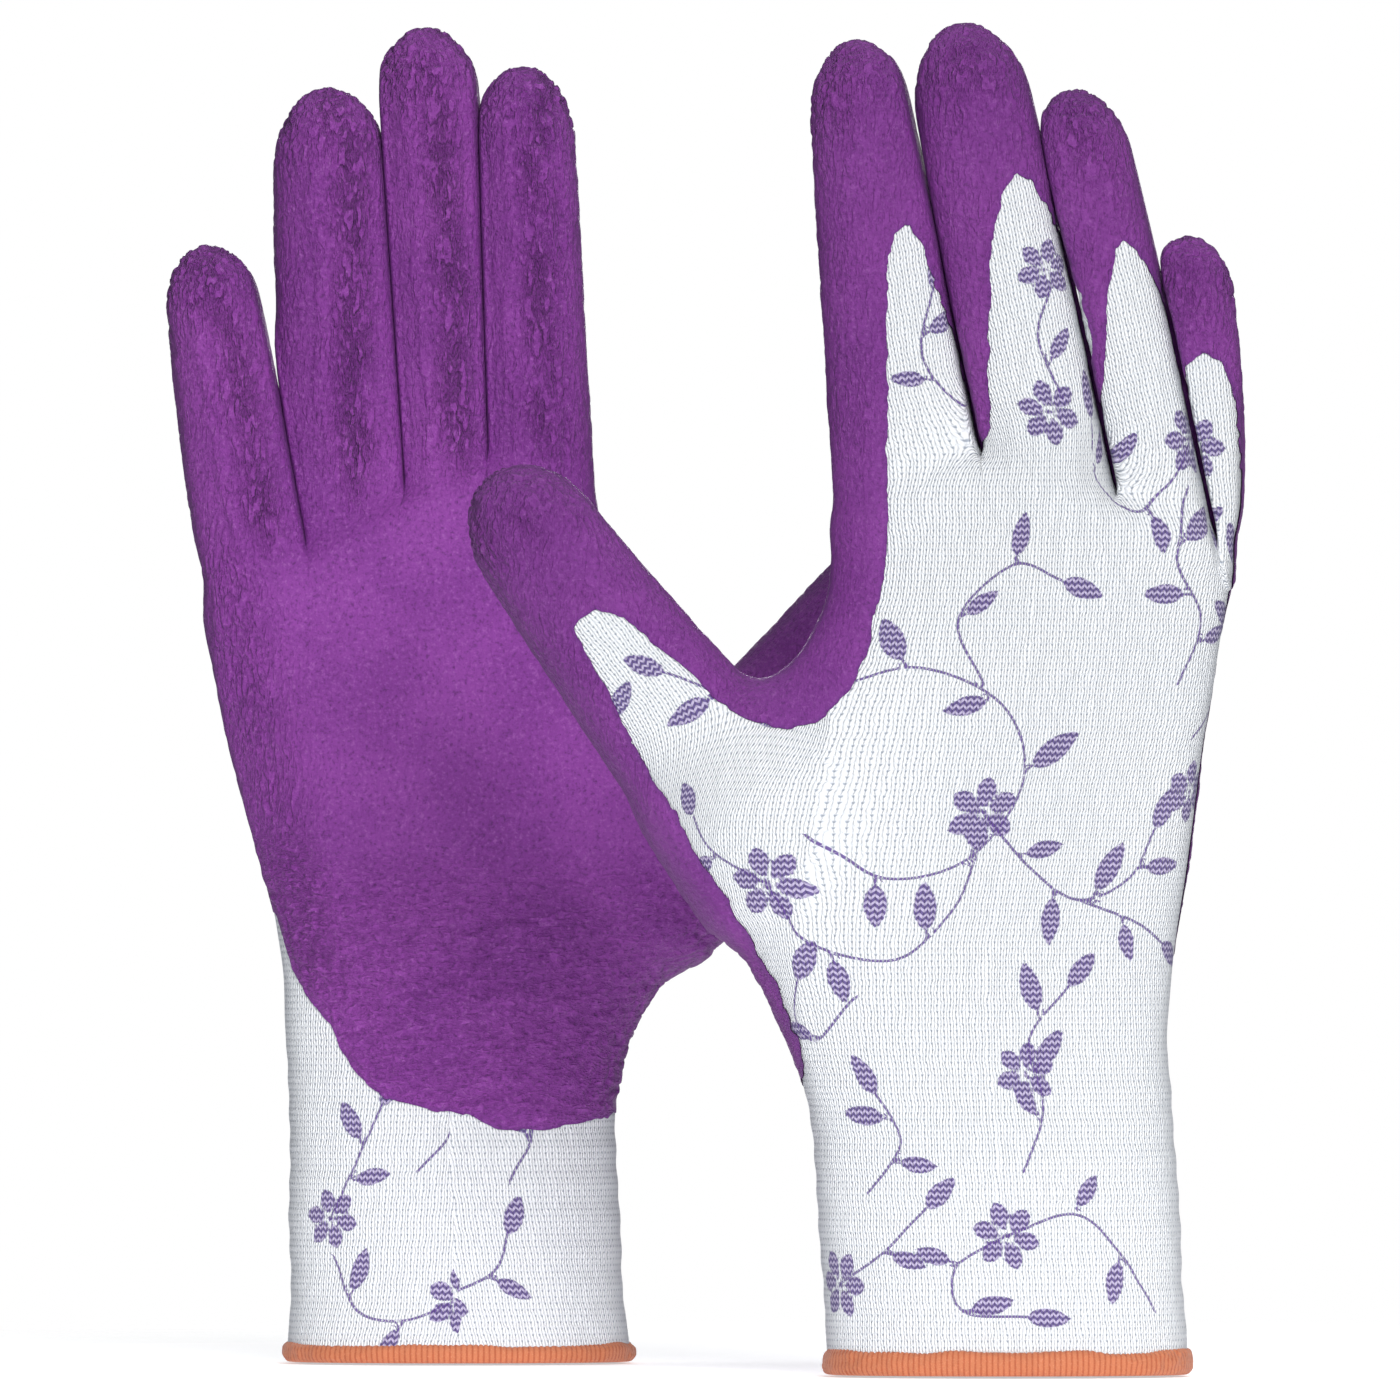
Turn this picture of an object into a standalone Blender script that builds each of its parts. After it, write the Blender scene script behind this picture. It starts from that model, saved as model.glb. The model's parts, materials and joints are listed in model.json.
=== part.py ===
"""A pair of dipped gardening gloves, standing upright on their cuff hems with the fingers up.

Each glove is a knitted liner with a foam-latex coat over the palm, the fingertips and the thumb, a ribbed
elastic cuff and an overlocked hem. The knit is split where the hand bends: at the wrist, at each knuckle
and at each middle joint. The wrist hinge is in the middle of the tube's depth; the finger hinges lie just
inside the palm side.

World frame: metres, +Z up, the floor at Z = 0. The rear glove shows its palm to -Y and the front glove
shows its back to -Y. A glove is drawn in its own frame, in millimetres: x towards the thumb, y towards the
back of the hand, z up. The front glove is the same frame turned half round about Z.
"""
import math
from typing import NamedTuple

import bmesh
import bpy
from mathutils import Matrix, Vector

for old in list(bpy.data.objects):
    bpy.data.objects.remove(old, do_unlink=True)

# ---------------------------------------------------------------- driving dimensions, in millimetres
MM = 0.001                    # one millimetre in metres

LINER_T = 0.9                 # knitted liner wall
COAT_T = 0.8                  # foam-latex coat wall
FIT_GAP = 0.3                 # clear space between liner and coat
PALM_GAP = 0.6                # the same on the wide palm
SKIN = COAT_T + FIT_GAP       # from a section's outside in to the liner's outside

HEM_H = 4.2                   # height of the overlocked hem
HEM_T = 2.4                   # its radial thickness
HEM_GAP = 0.3                 # between the hem and the cuff knit above it
CUFF_INSET = 0.5              # cuff knit inside the cuff sections
CUFF_STEPS = 3                # bands of faces up the cuff

WRIST_Z = 46.0                # height of the wrist hinge
WRIST_GAP = 1.2               # each rim's distance from the hinge at the sides of the wrist
WRIST_SLOPE = math.tan(math.radians(15.0))  # each rim falls away from the hinge this steeply

ELASTIC_R = 0.28              # covered elastic yarn in the cuff
ELASTIC_TURNS = 4
ELASTIC_Z = 10.0              # height where the yarn starts
ELASTIC_RISE = 20.0           # its climb over all its turns
ELASTIC_SLACK = 0.25          # extra space between the yarn and the cuff knit

HAND_TOP = 172.0              # top of the hand tube before the finger roots are cut
COAT_LOW_LITTLE = 80.0        # lower edge of the palm coat on the little-finger side
COAT_LOW_THUMB = 57.0         # and on the thumb side
COAT_LEVEL_Z = 88.0           # above this the rings of the palm coat are level

HINGE_INSET = 2.5             # hinge line inside the palm-side outside of a finger
HINGE_GAP = 2.8               # a finger segment starts and ends this far from its hinge line
STRIP_CLEAR = 1.6             # side clearance of a finger's root in the hand's top rim
CUTTER_DEPTH = 70.0           # root cutter, right through the hand
CUTTER_H = 60.0               # root cutter, along the finger
CAP_RATIO = 1.12              # length of a fingertip's dome over its half width
CAP_RINGS = (34, 64)          # latitudes of the dome's rings, in degrees

HAND_SIDES = 28               # facets round the hand and cuff
FINGER_SIDES = 12             # facets round a finger
PALM_REACH = 8                # facets the palm coat covers to each side of the palm's middle
FINGER_REACH = 4              # the same for the coat of a finger's base
HAND_POWER = 2.4              # superellipse power of the hand and cuff sections
FINGER_POWER = 2.2            # and of the finger sections
SHARP_ANGLE = math.radians(50.0)  # edges sharper than this stay crisp

# sections of the hand tube: height, little-finger edge x, thumb-side edge x, depth, depth offset
REAR_HAND = [
    (WRIST_Z, -32.7, 29.3, 40.0, 0.0), (61, -33.1, 32.0, 37.0, -0.5), (72, -33.8, 39.5, 35.5, -1.0),
    (84, -35.4, 50.0, 34.5, -2.0), (96, -38.6, 61.0, 33.0, -2.0), (103, -40.6, 58.0, 32.0, -1.8),
    (110, -42.6, 51.0, 31.0, -1.2), (118, -44.6, 42.5, 30.0, -0.8), (126, -46.3, 37.0, 29.0, -0.5),
    (140, -48.8, 29.5, 27.0, 0.0), (156, -51.2, 26.3, 24.0, 0.0), (HAND_TOP, -53.5, 25.3, 21.0, 0.0)]
FRONT_HAND = [
    (WRIST_Z, -31.3, 36.0, 40.0, 0.0), (61, -30.4, 40.6, 37.0, -0.5), (76, -31.7, 48.5, 35.5, -1.0),
    (90, -33.8, 58.5, 34.5, -2.0), (103, -35.6, 69.0, 33.0, -2.0), (110, -36.5, 66.0, 32.0, -1.8),
    (117, -37.4, 59.0, 31.0, -1.2), (125, -38.7, 49.5, 30.0, -0.8), (133, -40.0, 39.5, 29.0, -0.5),
    (144, -41.8, 32.5, 26.5, 0.0), (158, -43.8, 31.9, 23.5, 0.0), (HAND_TOP, -44.8, 33.0, 21.0, 0.0)]
# sections of the cuff, in the same columns
REAR_CUFF = [
    (0.0, -32.8, 32.9, 45.0, 0.0), (10, -32.2, 31.4, 43.5, 0.0),
    (28, -32.5, 30.3, 41.5, 0.0), (WRIST_Z, -32.7, 29.3, 40.0, 0.0)]
FRONT_CUFF = [
    (0.0, -34.1, 33.6, 45.0, 0.0), (10, -33.8, 34.1, 43.5, 0.0),
    (28, -32.7, 34.8, 41.5, 0.0), (WRIST_Z, -31.3, 36.0, 40.0, 0.0)]

# finger: (root x, root z), (tip x, tip z), width at root and tip, depth at root and tip, depth offset,
# share of the length below the middle joint
REAR_FINGERS = {
    "index": ((15.4, 167.7), (11.6, 242.7), 18.2, 17.0, 18.5, 17.0, 0.0, 0.43),
    "middle": ((-2.0, 167.7), (-6.3, 250.2), 15.6, 16.6, 18.5, 17.5, 0.5, 0.44),
    "ring": ((-21.8, 162.6), (-24.5, 238.8), 20.5, 18.5, 18.5, 17.0, 0.0, 0.44),
    "little": ((-42.3, 153.3), (-47.5, 209.0), 20.5, 17.0, 17.5, 15.5, -2.5, 0.42),
    "thumb": ((49.4, 106.4), (89.3, 154.3), 31.0, 21.0, 25.0, 19.0, -3.0, 0.50)}
FRONT_FINGERS = {
    "index": ((19.2, 171.8), (28.9, 247.0), 26.0, 18.0, 18.5, 17.0, 0.0, 0.43),
    "middle": ((-6.0, 171.8), (9.3, 250.2), 20.8, 19.0, 18.5, 17.5, 0.5, 0.44),
    "ring": ((-25.6, 165.4), (-10.9, 237.7), 14.2, 15.2, 17.5, 17.0, 0.0, 0.44),
    "little": ((-41.4, 150.0), (-33.6, 210.5), 11.2, 13.0, 16.0, 15.5, -2.5, 0.42),
    "thumb": ((56.2, 114.0), (95.9, 166.4), 32.0, 21.5, 25.0, 19.0, -3.0, 0.50)}


class Glove(NamedTuple):
    """Where a glove stands, which way it is turned (1 or -1), and its own tables."""
    side: str
    x: float
    y: float
    turn: float
    hand: list
    cuff: list
    fingers: dict

    def place(self, x, y, z):
        """A point of the glove's own frame in the world, in metres."""
        return Vector((self.x + self.turn * x, self.y + self.turn * y, z)) * MM


GLOVES = (
    Glove("rear", x=-46.6, y=60.0, turn=1.0, hand=REAR_HAND, cuff=REAR_CUFF, fingers=REAR_FINGERS),
    Glove("front", x=55.3, y=-60.0, turn=-1.0, hand=FRONT_HAND, cuff=FRONT_CUFF,
          fingers=FRONT_FINGERS))

# ---------------------------------------------------------------- collections and materials
model = bpy.data.collections.new("gardening_gloves")
cutters = bpy.data.collections.new("cutters")
for collection in (model, cutters):
    bpy.context.scene.collection.children.link(collection)

FINISH = {  # colour, roughness
    "knit": ((0.80, 0.83, 0.87), 0.85),
    "foam": ((0.20, 0.035, 0.26), 0.62),
    "hem": ((0.68, 0.26, 0.12), 0.75),
    "elastic": ((0.85, 0.85, 0.83), 0.60)}


def material_for(name, finish):
    """Each piece has its own copy of its finish."""
    colour, roughness = FINISH[finish]
    material = bpy.data.materials.new(f"{name}_{finish}")
    material.use_nodes = True
    shader = material.node_tree.nodes["Principled BSDF"]
    shader.inputs["Base Color"].default_value = (*colour, 1.0)
    shader.inputs["Roughness"].default_value = roughness
    return material


# ---------------------------------------------------------------- sections
def row_at(table, z):
    """The table's row at height z, straight between its rows."""
    for low, high in zip(table, table[1:]):
        if z <= high[0]:
            t = (z - low[0]) / (high[0] - low[0])
            return [a + (b - a) * t for a, b in zip(low, high)]
    raise ValueError(f"height {z} is above the table")


def rounded(angle, power):
    """A point of a unit superellipse."""
    cosine, sine = math.cos(angle), math.sin(angle)
    return (math.copysign(abs(cosine) ** (2 / power), cosine),
            math.copysign(abs(sine) ** (2 / power), sine))


def tube_point(table, angle, z, inset=0.0):
    """A point on the hand or cuff, in its glove's frame."""
    _, little_edge, thumb_edge, depth, offset = row_at(table, z)
    across, back = rounded(angle, HAND_POWER)
    return (0.5 * (little_edge + thumb_edge) + (0.5 * (thumb_edge - little_edge) - inset) * across,
            offset + (0.5 * depth - inset) * back,
            z)


def tube_ring(glove, table, angles, heights, inset):
    """World points round the hand or cuff, one height for each angle."""
    return [glove.place(*tube_point(table, angle, z, inset)) for angle, z in zip(angles, heights)]


def angles_round(count, reach=None):
    """Evenly spaced angles from the middle of the palm; reach limits them to an arc about the palm."""
    step = 2 * math.pi / count
    indices = range(count) if reach is None else range(-reach, reach + 1)
    return [-math.pi / 2 + step * i for i in indices]


HAND_ANGLES = angles_round(HAND_SIDES)
FINGER_ANGLES = angles_round(FINGER_SIDES)


def rim_drop(table, angle):
    """Height between the wrist hinge and either rim at an angle round the wrist."""
    y = tube_point(table, angle, WRIST_Z)[1]
    return WRIST_GAP + abs(y) * WRIST_SLOPE


# ---------------------------------------------------------------- pivots and pieces
class Pivot(NamedTuple):
    """An empty and its place in the world."""
    empty: bpy.types.Object
    at: Vector


def add_pivot(name, parent, at):
    empty = bpy.data.objects.new(name, None)
    empty.empty_display_size = 0.01
    empty.location = at - parent.at
    empty.parent = parent.empty
    model.objects.link(empty)
    return Pivot(empty, at)


def add_root():
    empty = bpy.data.objects.new("gloves_root", None)
    empty.empty_display_size = 0.02
    model.objects.link(empty)
    return Pivot(empty, Vector((0, 0, 0)))


def add_piece(name, data, pivot, finish):
    """Link data, already relative to the pivot, as a named piece under it."""
    data.materials.append(material_for(name, finish))
    piece = bpy.data.objects.new(name, data)
    model.objects.link(piece)
    piece.parent = pivot.empty
    return piece


def loft(name, rings, closed=True, pole=None):
    """An open skin through rings of points; a pole closes its far end."""
    mesh = bpy.data.meshes.new(name)
    bm = bmesh.new()
    rows = [[bm.verts.new(point) for point in ring] for ring in rings]
    count = len(rows[0])
    spans = count if closed else count - 1
    for low, high in zip(rows, rows[1:]):
        for i in range(spans):
            j = (i + 1) % count
            bm.faces.new((low[i], low[j], high[j], high[i]))
    if pole is not None:
        top = bm.verts.new(pole)
        for i in range(spans):
            bm.faces.new((rows[-1][i], rows[-1][(i + 1) % count], top))
    bm.to_mesh(mesh)
    bm.free()
    return mesh


def add_shell(name, mesh, pivot, finish, thickness, offset):
    """A smooth-shaded skin, given in world coordinates and thickened to a wall."""
    mesh.transform(Matrix.Translation(-pivot.at))
    mesh.shade_smooth()
    mesh.set_sharp_from_angle(angle=SHARP_ANGLE)
    piece = add_piece(name, mesh, pivot, finish)
    solid = piece.modifiers.new("wall", "SOLIDIFY")
    solid.thickness = thickness * MM
    solid.offset = offset
    solid.use_even_offset = True
    solid.use_rim = True
    return piece


def add_liner(name, pivot, rings, **ends):
    """Knit, its wall inwards of the skin."""
    return add_shell(name, loft(name, rings, **ends), pivot, "knit", LINER_T, offset=-1.0)


def add_coat(name, pivot, rings, gap=FIT_GAP, **ends):
    """Foam, its wall from the gap to the gap plus COAT_T outside the skin."""
    return add_shell(name, loft(name, rings, **ends), pivot, "foam", COAT_T,
                     offset=1.0 + 2.0 * gap / COAT_T)


def cut(piece, cutter):
    boolean = piece.modifiers.new("cut_" + cutter.name, "BOOLEAN")
    boolean.operation = "DIFFERENCE"
    boolean.solver = "EXACT"
    boolean.object = cutter


# ---------------------------------------------------------------- fingers
class Finger:
    """One finger or thumb of one glove: its axis, taper and hinge lines, in the glove's own frame."""

    def __init__(self, glove, name):
        (root, tip, self.root_width, self.tip_width, self.root_depth, self.tip_depth,
         offset, share) = glove.fingers[name]
        self.glove = glove
        self.stem = f"{glove.side}_{name}"
        self.root = Vector((root[0], offset, root[1]))
        axis = Vector((tip[0] - root[0], 0, tip[1] - root[1]))
        self.length = axis.length
        self.along = axis.normalized()
        self.across = Vector((self.along.z, 0, -self.along.x))
        self.middle = self.length * share

    def half_size(self, distance):
        """Half the outside width and depth at a distance from the root."""
        t = distance / self.length
        return ((self.root_width + (self.tip_width - self.root_width) * t) / 2,
                (self.root_depth + (self.tip_depth - self.root_depth) * t) / 2)

    def ring(self, distance, angles=FINGER_ANGLES, shrink=1.0):
        """World points of the liner's skin round the finger at a distance from the root."""
        half_width, half_depth = self.half_size(distance)
        points = []
        for angle in angles:
            side, back = rounded(angle, FINGER_POWER)
            point = (self.root + self.along * distance
                     + self.across * ((half_width - SKIN) * side * shrink)
                     + Vector((0, (half_depth - SKIN) * back * shrink, 0)))
            points.append(self.glove.place(*point))
        return points

    def hinge(self, distance):
        half_depth = self.half_size(distance)[1]
        point = self.root + self.along * distance - Vector((0, half_depth - HINGE_INSET, 0))
        return self.glove.place(*point)

    def base_rings(self, angles):
        low, high = HINGE_GAP, self.middle - HINGE_GAP
        return [self.ring(distance, angles) for distance in (low, (low + high) / 2, high)]

    def tip_rings(self):
        """Rings from the middle joint over the domed tip, and the dome's pole."""
        cap = self.half_size(self.length)[0] * CAP_RATIO
        end = self.length - SKIN
        cap_start = end - cap
        rings = [self.ring(self.middle + HINGE_GAP), self.ring(cap_start)]
        for degrees in CAP_RINGS:
            latitude = math.radians(degrees)
            rings.append(self.ring(cap_start + cap * math.sin(latitude), shrink=math.cos(latitude)))
        return rings, self.glove.place(*(self.root + self.along * end))


def add_root_cutter(finger):
    """A block that opens the hand where a finger leaves it."""
    width = finger.root_width + 2 * STRIP_CLEAR
    centre = finger.root + finger.along * (CUTTER_H / 2 - HINGE_GAP)
    lean = math.atan2(finger.along.x, finger.along.z)
    bpy.ops.mesh.primitive_cube_add(size=1.0, location=finger.glove.place(*centre))
    block = bpy.context.object
    block.name = finger.stem + "_root_cutter"
    block.data.transform(Matrix.Diagonal((width * MM, CUTTER_DEPTH * MM, CUTTER_H * MM, 1)))
    block.rotation_euler = (0, finger.glove.turn * lean, 0)
    block.hide_render = True
    block.display_type = "WIRE"
    for holder in list(block.users_collection):
        holder.objects.unlink(block)
    cutters.objects.link(block)
    return block


def add_finger(finger, wrist):
    """A base segment and a tip segment, each a liner with its coat."""
    stem = finger.stem
    knuckle = add_pivot(stem + "_knuckle_pivot", wrist, finger.hinge(0.0))
    middle = add_pivot(stem + "_middle_pivot", knuckle, finger.hinge(finger.middle))
    add_liner(stem + "_base_liner", knuckle, finger.base_rings(FINGER_ANGLES))
    palm_arc = angles_round(FINGER_SIDES, FINGER_REACH)
    add_coat(stem + "_base_coat", knuckle, finger.base_rings(palm_arc), closed=False)
    rings, pole = finger.tip_rings()
    add_liner(stem + "_tip_liner", middle, rings, pole=pole)
    add_coat(stem + "_tip_coat", middle, rings, pole=pole)


# ---------------------------------------------------------------- cuff
def add_hem(glove, pivot):
    """A straight band with a flat foot, shaped by the cuff section at its mid-height."""
    name = glove.side + "_hem_binding"
    outline = [tube_point(glove.cuff, angle, HEM_H / 2)[:2] for angle in HAND_ANGLES]
    rings = [[glove.place(x, y, z) for x, y in outline] for z in (0.0, HEM_H)]
    add_shell(name, loft(name, rings), pivot, "hem", HEM_T, offset=-1.0)


def add_cuff(glove, pivot):
    """Rib knit from the hem to the wrist, its top rim falling away from the wrist hinge."""
    low = HEM_H + HEM_GAP
    tops = [WRIST_Z - rim_drop(glove.cuff, angle) for angle in HAND_ANGLES]
    rings = []
    for k in range(CUFF_STEPS + 1):
        heights = [low + (top - low) * k / CUFF_STEPS for top in tops]
        rings.append(tube_ring(glove, glove.cuff, HAND_ANGLES, heights, CUFF_INSET))
    add_liner(glove.side + "_cuff_rib", pivot, rings)


def add_elastic(glove, pivot):
    """Elastic yarn wound in a helix inside the cuff knit."""
    name = glove.side + "_cuff_elastic"
    curve = bpy.data.curves.new(name, "CURVE")
    curve.dimensions = "3D"
    spline = curve.splines.new("POLY")
    inset = CUFF_INSET + LINER_T + FIT_GAP + ELASTIC_R + ELASTIC_SLACK
    steps = ELASTIC_TURNS * HAND_SIDES
    spline.points.add(steps)
    for i in range(steps + 1):
        angle = -math.pi / 2 + 2 * math.pi * i / HAND_SIDES
        z = ELASTIC_Z + ELASTIC_RISE * i / steps
        point = glove.place(*tube_point(glove.cuff, angle, z, inset)) - pivot.at
        spline.points[i].co = (*point, 1.0)
    curve.bevel_depth = ELASTIC_R * MM
    curve.bevel_resolution = 0
    curve.use_fill_caps = True
    add_piece(name, curve, pivot, "elastic")


# ---------------------------------------------------------------- hand
def add_hand_liner(glove, wrist):
    """The knit from the wrist to the finger roots."""
    rim = [WRIST_Z + rim_drop(glove.hand, angle) for angle in HAND_ANGLES]
    levels = [rim] + [[row[0]] * HAND_SIDES for row in glove.hand[1:]]
    rings = [tube_ring(glove, glove.hand, HAND_ANGLES, heights, SKIN) for heights in levels]
    return add_liner(glove.side + "_hand_liner", wrist, rings)


def add_palm_coat(glove, wrist):
    """The coat wraps the palm side and a little round each edge; its lower edge dips to the thumb side."""
    arc = angles_round(HAND_SIDES, PALM_REACH)
    level_heights = [row[0] for row in glove.hand if row[0] > COAT_LEVEL_Z]
    edge = []
    for angle in arc:
        t = (1 + rounded(angle, HAND_POWER)[0]) / 2
        ease = t * t * (3 - 2 * t)
        edge.append(COAT_LOW_LITTLE + (COAT_LOW_THUMB - COAT_LOW_LITTLE) * ease)
    between = [(z + level_heights[0]) / 2 for z in edge]
    levels = [edge, between] + [[z] * len(arc) for z in level_heights]
    rings = [tube_ring(glove, glove.hand, arc, heights, SKIN) for heights in levels]
    return add_coat(glove.side + "_palm_coat", wrist, rings, gap=PALM_GAP, closed=False)


# ---------------------------------------------------------------- the pair
def build_glove(glove, root):
    cuff = add_pivot(glove.side + "_cuff_pivot", root, glove.place(0, 0, 0))
    add_hem(glove, cuff)
    add_cuff(glove, cuff)
    add_elastic(glove, cuff)

    wrist = add_pivot(glove.side + "_wrist_pivot", cuff, glove.place(0, 0, WRIST_Z))
    hand = add_hand_liner(glove, wrist)
    coat = add_palm_coat(glove, wrist)
    for name in glove.fingers:
        finger = Finger(glove, name)
        block = add_root_cutter(finger)
        cut(hand, block)
        cut(coat, block)
        add_finger(finger, wrist)


gloves_root = add_root()
for each_glove in GLOVES:
    build_glove(each_glove, gloves_root)
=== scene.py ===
# A pair of knitted gloves with a foamed latex coat, standing on their cuffs, fingers up.
# Each glove is modelled in millimetres in its own frame: x across the hand with the thumb on
# the +x side, y from the palm (-y) to the back of the hand (+y), z up from the hem. It is then
# turned and moved to its place in the world, where -Y faces the camera.
import json
import math
from itertools import product

import bpy
import numpy as np
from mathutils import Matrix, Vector


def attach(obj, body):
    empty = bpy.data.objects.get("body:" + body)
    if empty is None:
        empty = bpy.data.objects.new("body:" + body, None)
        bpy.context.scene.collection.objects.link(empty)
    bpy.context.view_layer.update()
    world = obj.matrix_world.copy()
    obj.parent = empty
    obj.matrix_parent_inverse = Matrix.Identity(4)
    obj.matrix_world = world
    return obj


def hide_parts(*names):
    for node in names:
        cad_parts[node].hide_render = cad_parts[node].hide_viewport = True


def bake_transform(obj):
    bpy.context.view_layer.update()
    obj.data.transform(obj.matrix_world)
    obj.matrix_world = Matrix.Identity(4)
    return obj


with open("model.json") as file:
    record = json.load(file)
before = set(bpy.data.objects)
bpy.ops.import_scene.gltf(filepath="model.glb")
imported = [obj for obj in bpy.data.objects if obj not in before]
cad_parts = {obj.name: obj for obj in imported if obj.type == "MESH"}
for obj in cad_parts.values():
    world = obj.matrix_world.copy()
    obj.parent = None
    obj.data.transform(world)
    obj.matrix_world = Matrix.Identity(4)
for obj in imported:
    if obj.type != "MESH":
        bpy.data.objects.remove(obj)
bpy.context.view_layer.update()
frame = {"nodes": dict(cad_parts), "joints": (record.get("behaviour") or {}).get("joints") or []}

JOINTS = {joint["name"]: joint for joint in frame["joints"]}
F32 = np.float32
STEP = 0.85       # grid step of the modelled surface, mm
GRID_LOW = np.array([-66.0, -27.0, -5.0])
GRID_HIGH = np.array([108.0, 27.0, 256.0])
LINER_T = 0.8     # knit thickness, mm
COAT_IN = 0.15    # the coat's inside stands this far off the knit
COAT_OFF = 0.9    # coat's outside over the knit's outside
COAT_RIM = 0.34   # the same at the coat's edge
SPREAD = 3.2      # the finger gaps are opened by this while the surface is made, then closed
LEAN = 0.15       # the gaps slant through the hand, so nothing is seen through them
GAP = 1.7         # knit to knit between neighbouring fingers; the coat fills most of it
SHAFT = 2.25      # superellipse power of a finger's section
TUBE = 2.35       # of the hand's section
WRIST = (30, 61)  # heights between which the wrist bends

FINGERS = ["little", "ring", "middle", "index"]
DIGITS = FINGERS + ["thumb"]
ZONES = ["wrist", "hand"] + [f"{name}_{part}" for name in DIGITS for part in ("base", "tip")]

# ------------------------------------------------------------------ tables of the two gloves, mm
# tube: z, left x, right x, depth, y of the middle
# digits: root (x, z), tip (x, z), width at root and tip, depth at root and tip, y
# gaps: two points (z, x) on the line between neighbouring fingers
# tops: (x, z) of the hand's top, at its sides and at the crotches between fingers
# start: how far along each digit its lower bend begins
# coat_low: (x, z) of the coat's lower edge on the palm
GLOVES = dict(
    rear=dict(
        tube=[(-6, -32.8, 32.9, 45, 0), (0, -32.8, 32.9, 45, 0), (10, -32.2, 31.4, 43.5, 0),
              (28, -32.5, 30.3, 41.5, 0), (46, -32.7, 29.3, 40, 0), (61, -33.1, 32, 37, -.5),
              (72, -33.8, 38.5, 35.5, -1), (84, -35.4, 48, 34.5, -2), (96, -38.6, 57, 33, -2),
              (103, -40.6, 54.5, 32, -1.8), (110, -42.6, 47.5, 31, -1.2),
              (118, -44.6, 39.5, 30, -.8), (126, -46.3, 34.5, 29, -.5),
              (140, -48.8, 29.5, 27, 0), (156, -51.2, 26.3, 24, 0), (166, -52.7, 25.6, 22, 0),
              (176, -54.2, 25.3, 20, 0), (186, -55.4, 25, 19, 0), (198, -56.2, 25, 19, 0)],
        digits=dict(
            little=((-38.2, 153.3), (-48.1, 209.2), 25.8, 17.6, 18, 16, -2.5),
            ring=((-20.8, 162.6), (-24.8, 238.9), 28, 20.8, 18.5, 17, 0),
            middle=((-2.4, 167.7), (-6.6, 250.2), 21, 20.9, 18.5, 17.5, 0.5),
            index=((14.2, 167.7), (11.7, 242.9), 22, 18.6, 18.5, 17, 0),
            thumb=((49.4, 106.4), (89.3, 154.3), 31, 21.5, 25, 19.5, -3)),
        gaps=[((162, -29.4), (199, -36.8)), ((162, -9.4), (227, -14.1)),
              ((180, 5.7), (230, 3.9))],
        tops=[(-60, 138), (-28.5, 151), (-9.6, 161.5), (6.2, 167.5), (30, 156)],
        start=dict(little=1.0, ring=2.0, middle=2.0, index=2.0, thumb=6.0),
        coat_low=[(-60, 86), (-34, 84), (-31, 74), (-27.5, 67), (-24, 63.5), (-22, 58.5),
                  (-18.5, 53.3), (-13.5, 49.2), (-8.3, 48.3), (-2, 47), (3, 46.2), (7, 44),
                  (11, 43.4), (17.2, 43.4), (23.5, 44.7), (28.6, 46.2), (60, 47)],
        hem_height=3.6, body_seed=3, coat_seed=40, texture_shift=300.0),
    front=dict(
        tube=[(-6, -34.1, 33.6, 45, 0), (0, -34.1, 33.6, 45, 0), (10, -33.8, 34.1, 43.5, 0),
              (28, -32.7, 34.8, 41.5, 0), (46, -31.3, 36, 40, 0), (61, -30.4, 40.2, 37, -.5),
              (76, -31.7, 47.5, 35.5, -1), (90, -33.8, 57, 34.5, -2), (103, -35.6, 65, 33, -2),
              (110, -36.5, 62, 32, -1.8), (117, -37.4, 55, 31, -1.2), (125, -38.7, 46, 30, -.8),
              (133, -40, 38, 29, -.5), (144, -41.8, 32.8, 26.5, 0), (158, -43.8, 32.2, 23.5, 0),
              (172, -44.8, 33, 21, 0), (190, -44.8, 34, 19, 0)],
        digits=dict(
            little=((-39.4, 150), (-33, 210.8), 17.6, 16, 16.5, 15.5, -2.5),
            ring=((-28, 165.4), (-11.4, 238), 21.5, 17.4, 18, 17, 0),
            middle=((-6.8, 171.8), (9.1, 250.3), 27.6, 20.9, 18.8, 17.8, 0.5),
            index=((17.3, 171.8), (28.7, 247.1), 31, 17.6, 18.8, 17.2, 0),
            thumb=((56.2, 114), (95.9, 166.4), 32, 22, 25, 19.5, -3)),
        gaps=[((180, -33.8), (209, -27.6)), ((180, -17.3), (227, -7.2)),
              ((180, 6.1), (217.6, 14.1))],
        tops=[(-60, 138), (-34.5, 158), (-18.5, 163), (5, 170), (40, 156)],
        start=dict(little=2.5, ring=2.0, middle=1.5, index=1.5, thumb=6.0),
        coat_low=[(-60, 86), (-33, 84), (-30, 74), (-26.5, 67), (-23, 63.5), (-21, 58.5),
                  (-17.5, 53.3), (-12.5, 49.2), (-7.3, 48.3), (-1, 47), (4, 46.2), (8, 44),
                  (13, 43.4), (20.2, 43.4), (27.5, 47), (34, 53), (70, 58)],
        hem_height=4.7, body_seed=7, coat_seed=60, texture_shift=0.0))


# ------------------------------------------------------------------ small maths
def smoothstep(x, low, high):
    t = np.clip((x - low) / (high - low), 0, 1)
    return t * t * (3 - 2 * t)


def smin(a, b, width):
    """The smaller of two fields, blended over a width."""
    h = np.clip(width - np.abs(a - b), 0, None) / width
    return np.minimum(a, b) - h * h * width * 0.25


def smax(a, b, width):
    return -smin(-a, -b, width)


def bell(x, width):
    return np.exp(-(x / width) ** 2)


def signed_power(x, power):
    return np.sign(x) * np.abs(x) ** power


def xyz(x, y, z):
    """Points (n, 3) from coordinates, some of which may be single numbers."""
    return np.stack(np.broadcast_arrays(x, y, z), 1)


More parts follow.
